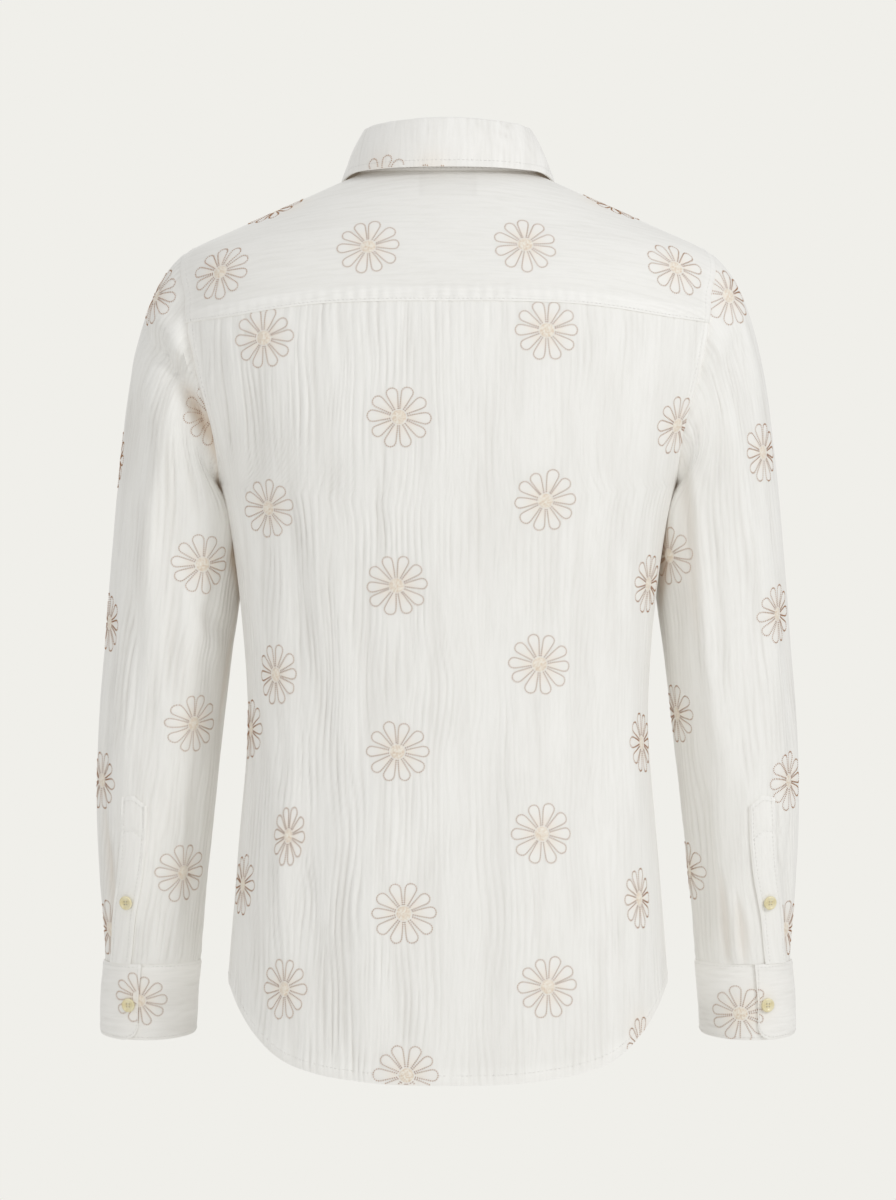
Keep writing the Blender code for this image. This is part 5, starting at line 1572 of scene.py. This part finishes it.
def make_placket(side):
    across = np.linspace(-1, 1, PLACKET_COLUMNS)[None, :]
    share = np.linspace(0, 1, PLACKET_ROWS)[:, None]
    top = PLACKET_PEAK - PLACKET_CHAMFER * np.maximum(across, 0) - 0.0015 * np.maximum(-across, 0)
    z = top + (CUFF_TOP - top) * share
    turns = read(SLIT, "free_edge", np.maximum(z, CUFF_TOP))
    turns = turns - degrees_for(PLACKET_WIDTH, z) * (1 - across) / 2
    points = sleeve_place(turns, z, PLACKET_OFFSET)[0] * (side, 1, 1)
    cloth = Cloth(points, sleeve_axis(points, side), False)
    cloth.layers[:] = 0.9
    for edge in ("low", "start", "end"):
        cloth.groove(edge, 0.0005, 0.0009)
        cloth.groove(edge, -0.0005, 0.0009, 0.0016)
        cloth.groove(edge, 0.0004, 0.0009, PLACKET_STITCHES)
    cloth.groove("low", 0.0006, 0.0010, 0.027)
    return cloth.finish(106 - 5 * side, 0.2)


def make_binding(side):
    across = np.linspace(0, 1, BINDING_COLUMNS)[None, :]
    z = np.linspace(SLIT_TOP + 0.003, CUFF_TOP, BINDING_ROWS)[:, None] + 0 * across
    turns = SLIT_FAR_TURN + BINDING_LAP - degrees_for(BINDING_WIDTH, z) * across
    points = sleeve_place(turns, z, BINDING_OFFSET)[0] * (side, 1, 1)
    return Cloth(points, sleeve_axis(points, side), False).finish(121, 0.3)


def make_band(over):
    levels = np.linspace(FRONT_TAIL, front_edge_top(), BAND_ROWS)[:, None]
    x = np.linspace(-BAND_HALF_WIDTH, BAND_HALF_WIDTH, BAND_COLUMNS)[None, :] + 0 * levels
    z = levels + 0 * x
    points = np.stack([x, front_point(x, z), z], axis=-1)
    cloth = Cloth(points, upright_axis(points), True)
    if over:
        cloth.base = cloth.base + cloth.normals * BAND_STEP
    cloth.layers[:] = 0.9
    for edge in ("start", "end"):
        cloth.groove(edge, 0.0003, 0.0010)
        cloth.groove(edge, 0.00025, 0.0008, BAND_STITCHES)
    return cloth.finish(131, 0.5)


def collar_foot():
    """The line on which the collar stands, from its under end at the left round to its top end."""
    top = front_edge_top()
    start = front_edge(np.array(top))[0]
    around = on_torso(neckline(np.linspace(start, math.pi - start, FOOT_COLUMNS)))
    from_end = run_along(around[::-1])[::-1]
    step = BAND_STEP * (1 - ease(from_end / BAND_BLEND))
    around = around + unit(around * (1, 1, 0)) * step[:, None]
    x = np.linspace(-BAND_HALF_WIDTH + 0.002, BAND_HALF_WIDTH, 10)[:-1]
    under = np.stack([x, front_point(x, top + 0 * x), top + 0 * x], axis=-1)
    x = np.linspace(-BAND_HALF_WIDTH, BAND_HALF_WIDTH - 0.002, 10)[1:]
    over = np.stack([x, front_point(x, top + 0 * x) - BAND_STEP, top + 0 * x], axis=-1)
    return np.concatenate([under, around, over])


def stand_top(angle):
    """The collar's fold, round the neck."""
    across, along = np.cos(angle), np.sin(angle)
    depth = np.where(along >= 0, STAND_TOP_BACK_REACH, STAND_TOP_FRONT_REACH)
    radius = ((across / STAND_TOP_HALF_WIDTH) ** 2 + (along / depth) ** 2) ** -0.5
    level = np.where(along >= 0, STAND_TOP_BACK, STAND_TOP_FRONT)
    z = STAND_TOP_SIDE + (level - STAND_TOP_SIDE) * along**2
    return np.stack([radius * across, radius * along, z], axis=-1)


def make_stand():
    foot = collar_foot()
    angle = np.arctan2(foot[:, 1], foot[:, 0])
    head = stand_top(angle)
    step = np.linalg.norm(foot[:, :2], axis=-1) - torso_radius(angle, foot[:, 2])
    head[:, :2] *= (1 + step / np.linalg.norm(head[:, :2], axis=-1))[:, None]
    share = np.linspace(0, 1, STAND_ROWS)[:, None, None]
    bow = unit(foot * (1, 1, 0)) * STAND_BOW * np.sin(np.pi * share)
    grid = foot * (1 - share) + head * share + bow
    run = run_along(foot)
    corner = np.clip(1 - np.minimum(run, run[-1] - run) / 0.011, 0, 1)
    grid[..., 2] -= 0.010 * (1 - np.sqrt(1 - corner**2))[None, :] * share[..., 0]
    cloth = Cloth(grid, upright_axis(grid), True)
    cloth.layers[:] = 0.6
    return cloth.finish(141, 0.2)


def make_leaf(stand):
    inner = slice(6, -6)
    fold, below = stand.points[-1, inner], stand.points[-3, inner]
    along_fold = unit(np.gradient(fold, axis=0))
    up = unit(fold - below)
    up = unit(up - along_fold * (up * along_fold).sum(-1, keepdims=True))
    out = np.cross(along_fold, up)
    out *= np.sign((out * fold * (1, 1, 0)).sum(-1, keepdims=True))
    run = run_along(fold)
    along = 1 - 2 * run / run[-1]
    edge_angle = np.radians(read(LEAF_EDGE, "angle", np.abs(along)))
    edge_angle = np.where(along >= 0, edge_angle, math.pi - edge_angle)
    reach = read(LEAF_EDGE, "reach", np.abs(along))
    free = read(LEAF_EDGE, "z", np.abs(along))
    free = np.maximum(free, torso_level(edge_angle, reach) + COLLAR_LIFT)
    edge = np.stack([reach * np.cos(edge_angle), reach * np.sin(edge_angle), free], axis=-1)
    centre = fold + up * 0.00045 + out * COLLAR_ROLL
    rows = []
    for roll in np.radians(np.linspace(0, 175, ROLL_ROWS)):
        rows.append(centre + COLLAR_ROLL * (up * math.sin(roll) - out * math.cos(roll)))
    start = rows[-1]
    for share in np.linspace(0, 1, LEAF_ROWS)[1:]:
        bow = COLLAR_BOW * math.sin(math.pi * share)
        rows.append(start * (1 - share) + edge * share + out * bow)
    points = np.array(rows)
    middle = points.shape[1] // 2
    cloth = Cloth(points, upright_axis(points), False, middle)
    side = np.sign((cloth.normals[-10:] * unit(points[-10:] * (1, 1, 0))).sum(-1).mean())
    cloth.normals *= side
    cloth.layers[:] = 0.5
    for daisy in LEAF_DAISIES:
        j = float(np.interp(daisy.along, *order_of(cloth.u[-1])))
        near = round(j)
        step = float(cloth.v[-1, near] - cloth.v[-2, near])
        row = len(points) - 1 - max(daisy.above, 0) / step
        cloth.add_daisy(row, j, daisy.turn, drop=max(-daisy.above, 0) * 1000)
    for edge_name in ("high", "start", "end"):
        cloth.still(edge_name)
        cloth.groove(edge_name, 0.0005, 0.0012)
        cloth.groove(edge_name, 0.00022, 0.0009, LEAF_STITCHES)
    return cloth.finish(151, 0.6)


def order_of(values):
    """A row of values and their indices, in rising order for np.interp."""
    order = np.argsort(values)
    return values[order], np.arange(len(values), dtype=float)[order]


def make_label():
    ends = (90 - LABEL_HALF_ANGLE, 90 + LABEL_HALF_ANGLE)
    angle = np.radians(np.linspace(*ends, LABEL_COLUMNS))
    points = torso(angle[None, :], np.linspace(LABEL_BOTTOM, LABEL_TOP, LABEL_ROWS)[:, None])
    cloth = Cloth(points, upright_axis(points), True)
    cloth.base = points - cloth.normals * LABEL_INSET
    return cloth.finish(161, 0.15)


# The cloth's flat width, length and area as cut, what it is sewn to, its wall and slot
Cut = namedtuple("Cut", "width length area rests wall slot")
CUTS = {
    "back": Cut(0.52, 0.62, 0.283, "yoke", 0.0008, "cotton"),
    "yoke": Cut(0.47, 0.21, 0.072, "back", 0.0008, "cotton"),
    "front_left": Cut(0.26, 0.66, 0.142, "yoke", 0.0008, "cotton"),
    "front_right": Cut(0.26, 0.66, 0.142, "yoke", 0.0008, "cotton"),
    "sleeve_left": Cut(0.36, 0.58, 0.160, "yoke", 0.0008, "cotton"),
    "sleeve_right": Cut(0.36, 0.58, 0.160, "yoke", 0.0008, "cotton"),
    "button_band": Cut(0.030, 0.64, 0.0190, "front_left", 0.0014, "cotton"),
    "buttonhole_band": Cut(0.030, 0.64, 0.0190, "front_right", 0.0014, "cotton"),
    "cuff_left": Cut(0.26, 0.056, 0.0140, "sleeve_left", 0.0018, "stiffened_cotton"),
    "cuff_right": Cut(0.26, 0.056, 0.0140, "sleeve_right", 0.0018, "stiffened_cotton"),
    "sleeve_placket_left": Cut(0.022, 0.133, 0.0028, "sleeve_left", 0.0014, "cotton"),
    "sleeve_placket_right": Cut(0.022, 0.133, 0.0028, "sleeve_right", 0.0014, "cotton"),
    "slit_binding_left": Cut(0.016, 0.105, 0.0016, "sleeve_left", 0.0010, "cotton"),
    "slit_binding_right": Cut(0.016, 0.105, 0.0016, "sleeve_right", 0.0010, "cotton"),
    "collar_stand": Cut(0.44, 0.040, 0.0150, "yoke", 0.0018, "stiffened_cotton"),
    "collar_leaf": Cut(0.50, 0.070, 0.0240, "collar_stand", 0.0015, "stiffened_cotton"),
    "neck_label": Cut(0.045, 0.028, 0.0012, "yoke", 0.0006, "label_tape"),
}
FINISHES = {"cotton": COTTON, "stiffened_cotton": FIRM, "label_tape": TAPE}


def dress(name, cloths, seed, weld=False):
    """Makes the shell that stands for a node, and embroiders it."""
    cut = CUTS[name]
    grid_mesh(name + "_cloth", cloths, cut.wall, FINISHES[cut.slot], name, weld)
    outline = Threads(name + "_daisies", STITCH_WIDTH, STITCH_HEIGHT, ROSE)
    hearts = Hearts(name + "_daisy_hearts", CREAM)
    fills = Fills(name + "_petals", PETAL)
    rng = np.random.default_rng(seed)
    for cloth in cloths:
        cloth.wall = cut.wall
        embroider(cloth, outline, hearts, fills, rng)
    for work in (outline, hearts, fills):
        work.build()


def both(make):
    """A piece for the left (1) and one for the right (-1)."""
    return {side: make(side) for side in HANDS}


back = make_back()
dress("back", [back], 1)
fronts, yokes = both(make_front), both(make_yoke)
dress("yoke", [yokes[1], yokes[-1]], 5, weld=True)
sleeves, cuffs = both(make_sleeve), both(make_cuff)
plackets, bindings = both(make_placket), both(make_binding)
for side, hand in HANDS.items():
    dress("front_" + hand, [fronts[side]], 2 + side)
    dress("sleeve_" + hand, [sleeves[side]], 9 + side, weld=True)
    dress("cuff_" + hand, [cuffs[side]], 12 + side)
    dress("sleeve_placket_" + hand, [plackets[side]], 15 + side)
    dress("slit_binding_" + hand, [bindings[side]], 18 + side)
bands = [make_band(over) for over in (False, True)]
dress("button_band", [bands[0]], 20)
dress("buttonhole_band", [bands[1]], 21)
stand = make_stand()
dress("collar_stand", [stand], 23)
leaf = make_leaf(stand)
dress("collar_leaf", [leaf], 24)
dress("neck_label", [make_label()], 25)

# Topstitching
topstitch(back, "low", HEM_WIDTH)
for side in HANDS:
    topstitch(yokes[side], "low", EDGE_STITCHES)
    topstitch(yokes[side], "end", SEAM_STITCHES)
    topstitch(yokes[side], "high", EDGE_STITCHES)
    topstitch(back, "end" if side > 0 else "start", SEAM_STITCHES, slice(back.corner, None))
    topstitch(fronts[side], "end", SEAM_STITCHES, slice(fronts[side].corner, None))
    topstitch(fronts[side], "low", HEM_WIDTH)
    for edge in ("low", "high", "end"):
        topstitch(cuffs[side], edge, CUFF_STITCHES)
    for edge in ("low", "start", "end"):
        topstitch(plackets[side], edge, PLACKET_STITCHES)
    topstitch(plackets[side], "low", PLACKET_BOX)
for band in bands:
    for edge in ("start", "end"):
        topstitch(band, edge, BAND_STITCHES)
topstitch(leaf, "high", LEAF_STITCHES)
for edge in ("start", "end"):
    topstitch(leaf, edge, LEAF_STITCHES, slice(8, -3))
topstitch(stand, "low", STAND_STITCHES)

# Buttons
for side, hand in HANDS.items():
    place, out = sleeve_seat(PLACKET_BUTTON_TURN, PLACKET_BUTTON_Z, PLACKET_SEAT)
    make_button("placket_button_" + hand, place * (side, 1, 1), out * (side, 1, 1))
    place, out = sleeve_seat(CUFF_BUTTON_TURN, CUFF_BUTTON_Z, CUFF_STEP + CUFF_SEAT)
    make_button("cuff_button_" + hand, place * (side, 1, 1), out * (side, 1, 1))
for number in range(FRONT_BUTTONS):
    z = TOP_BUTTON - number * BUTTON_PITCH
    below, at, above = front_point(0.0, z + np.array([-0.02, 0.0, 0.02]))
    out = unit(np.array([0.0, -1.0, (above - below) / 0.04]))
    place = np.array([0.0, at - BAND_STEP, z]) + out * FRONT_SEAT
    make_button(f"front_button_{number + 1}", place, out)
middle = stand.points[7, -7]
out = unit(np.cross(stand.points[7, -9] - middle, stand.points[9, -7] - middle))
out = out if out[1] < 0 else -out
make_button("stand_button", middle + out * STAND_SEAT, out)
sewing.build()

# Floor, light and camera
FLOOR_RADIUS, FLOOR_LEVEL = 2.2, -1.30
FLOOR_COLOUR = (0.86, 0.85, 0.815)
BACKDROP = (0.871, 0.863, 0.823)
SKY, SKY_STRENGTH = (1.0, 1.0, 0.995), 0.63

floor_mesh = bpy.data.meshes.new("floor")
bm = bmesh.new()
bmesh.ops.create_circle(bm, cap_ends=True, radius=FLOOR_RADIUS, segments=96)
bm.to_mesh(floor_mesh)
bm.free()
floor = link("floor", floor_mesh)
floor.location = (0, 0, FLOOR_LEVEL)
made, tree, shader = nodes_of("pale_floor")
feed(tree, shader, {"Base Color": (*FLOOR_COLOUR, 1), "Roughness": 0.9})
floor_mesh.materials.append(made)

world = bpy.data.worlds.new("studio")
world.use_nodes = True
bpy.context.scene.world = world
tree = world.node_tree
soft = tree.nodes["Background"]
feed(tree, soft, {"Color": (*SKY, 1), "Strength": SKY_STRENGTH})
pale = {"Color": (*BACKDROP, 1)}
seen = add_node(tree, "ShaderNodeLightPath", {}, "Is Camera Ray")
backdrop = add_node(tree, "ShaderNodeBackground", pale, "Background")
surface = {"Fac": seen, 1: soft.outputs["Background"], 2: backdrop}
surface = add_node(tree, "ShaderNodeMixShader", surface, "Shader")
feed(tree, tree.nodes["World Output"], {"Surface": surface})

Light = namedtuple("Light", "name place target size power colour")
LIGHTS = (
    Light("key", (-2.05, 1.95, 1.1), (0, 0, -0.3), 0.9, 26.0, (1.0, 1.0, 1.0)),
    Light("fill", (0.9, 3.0, -0.1), (0, 0, -0.4), 1.2, 10.5, (1.0, 0.995, 0.98)),
    Light("front", (0.8, -2.6, 1.2), (0, 0, -0.3), 2.0, 20.0, (1.0, 0.995, 0.98)),
)
for light in LIGHTS:
    lamp = bpy.data.lights.new(light.name, "AREA")
    lamp.shape = "DISK"
    lamp.size, lamp.energy, lamp.color = light.size, light.power, light.colour
    made = link(light.name, lamp)
    made.location = light.place
    away = Vector(light.place) - Vector(light.target)
    made.rotation_euler = away.to_track_quat("Z", "Y").to_euler()

camera = link("camera", bpy.data.cameras.new("camera"))
camera.data.lens = CAMERA_LENS
camera.location = (0, CAMERA_DISTANCE, CAMERA_HEIGHT)
camera.rotation_euler = (math.pi / 2, 0, math.pi)
bpy.context.scene.camera = camera
bpy.context.scene.view_settings.view_transform = "Standard"
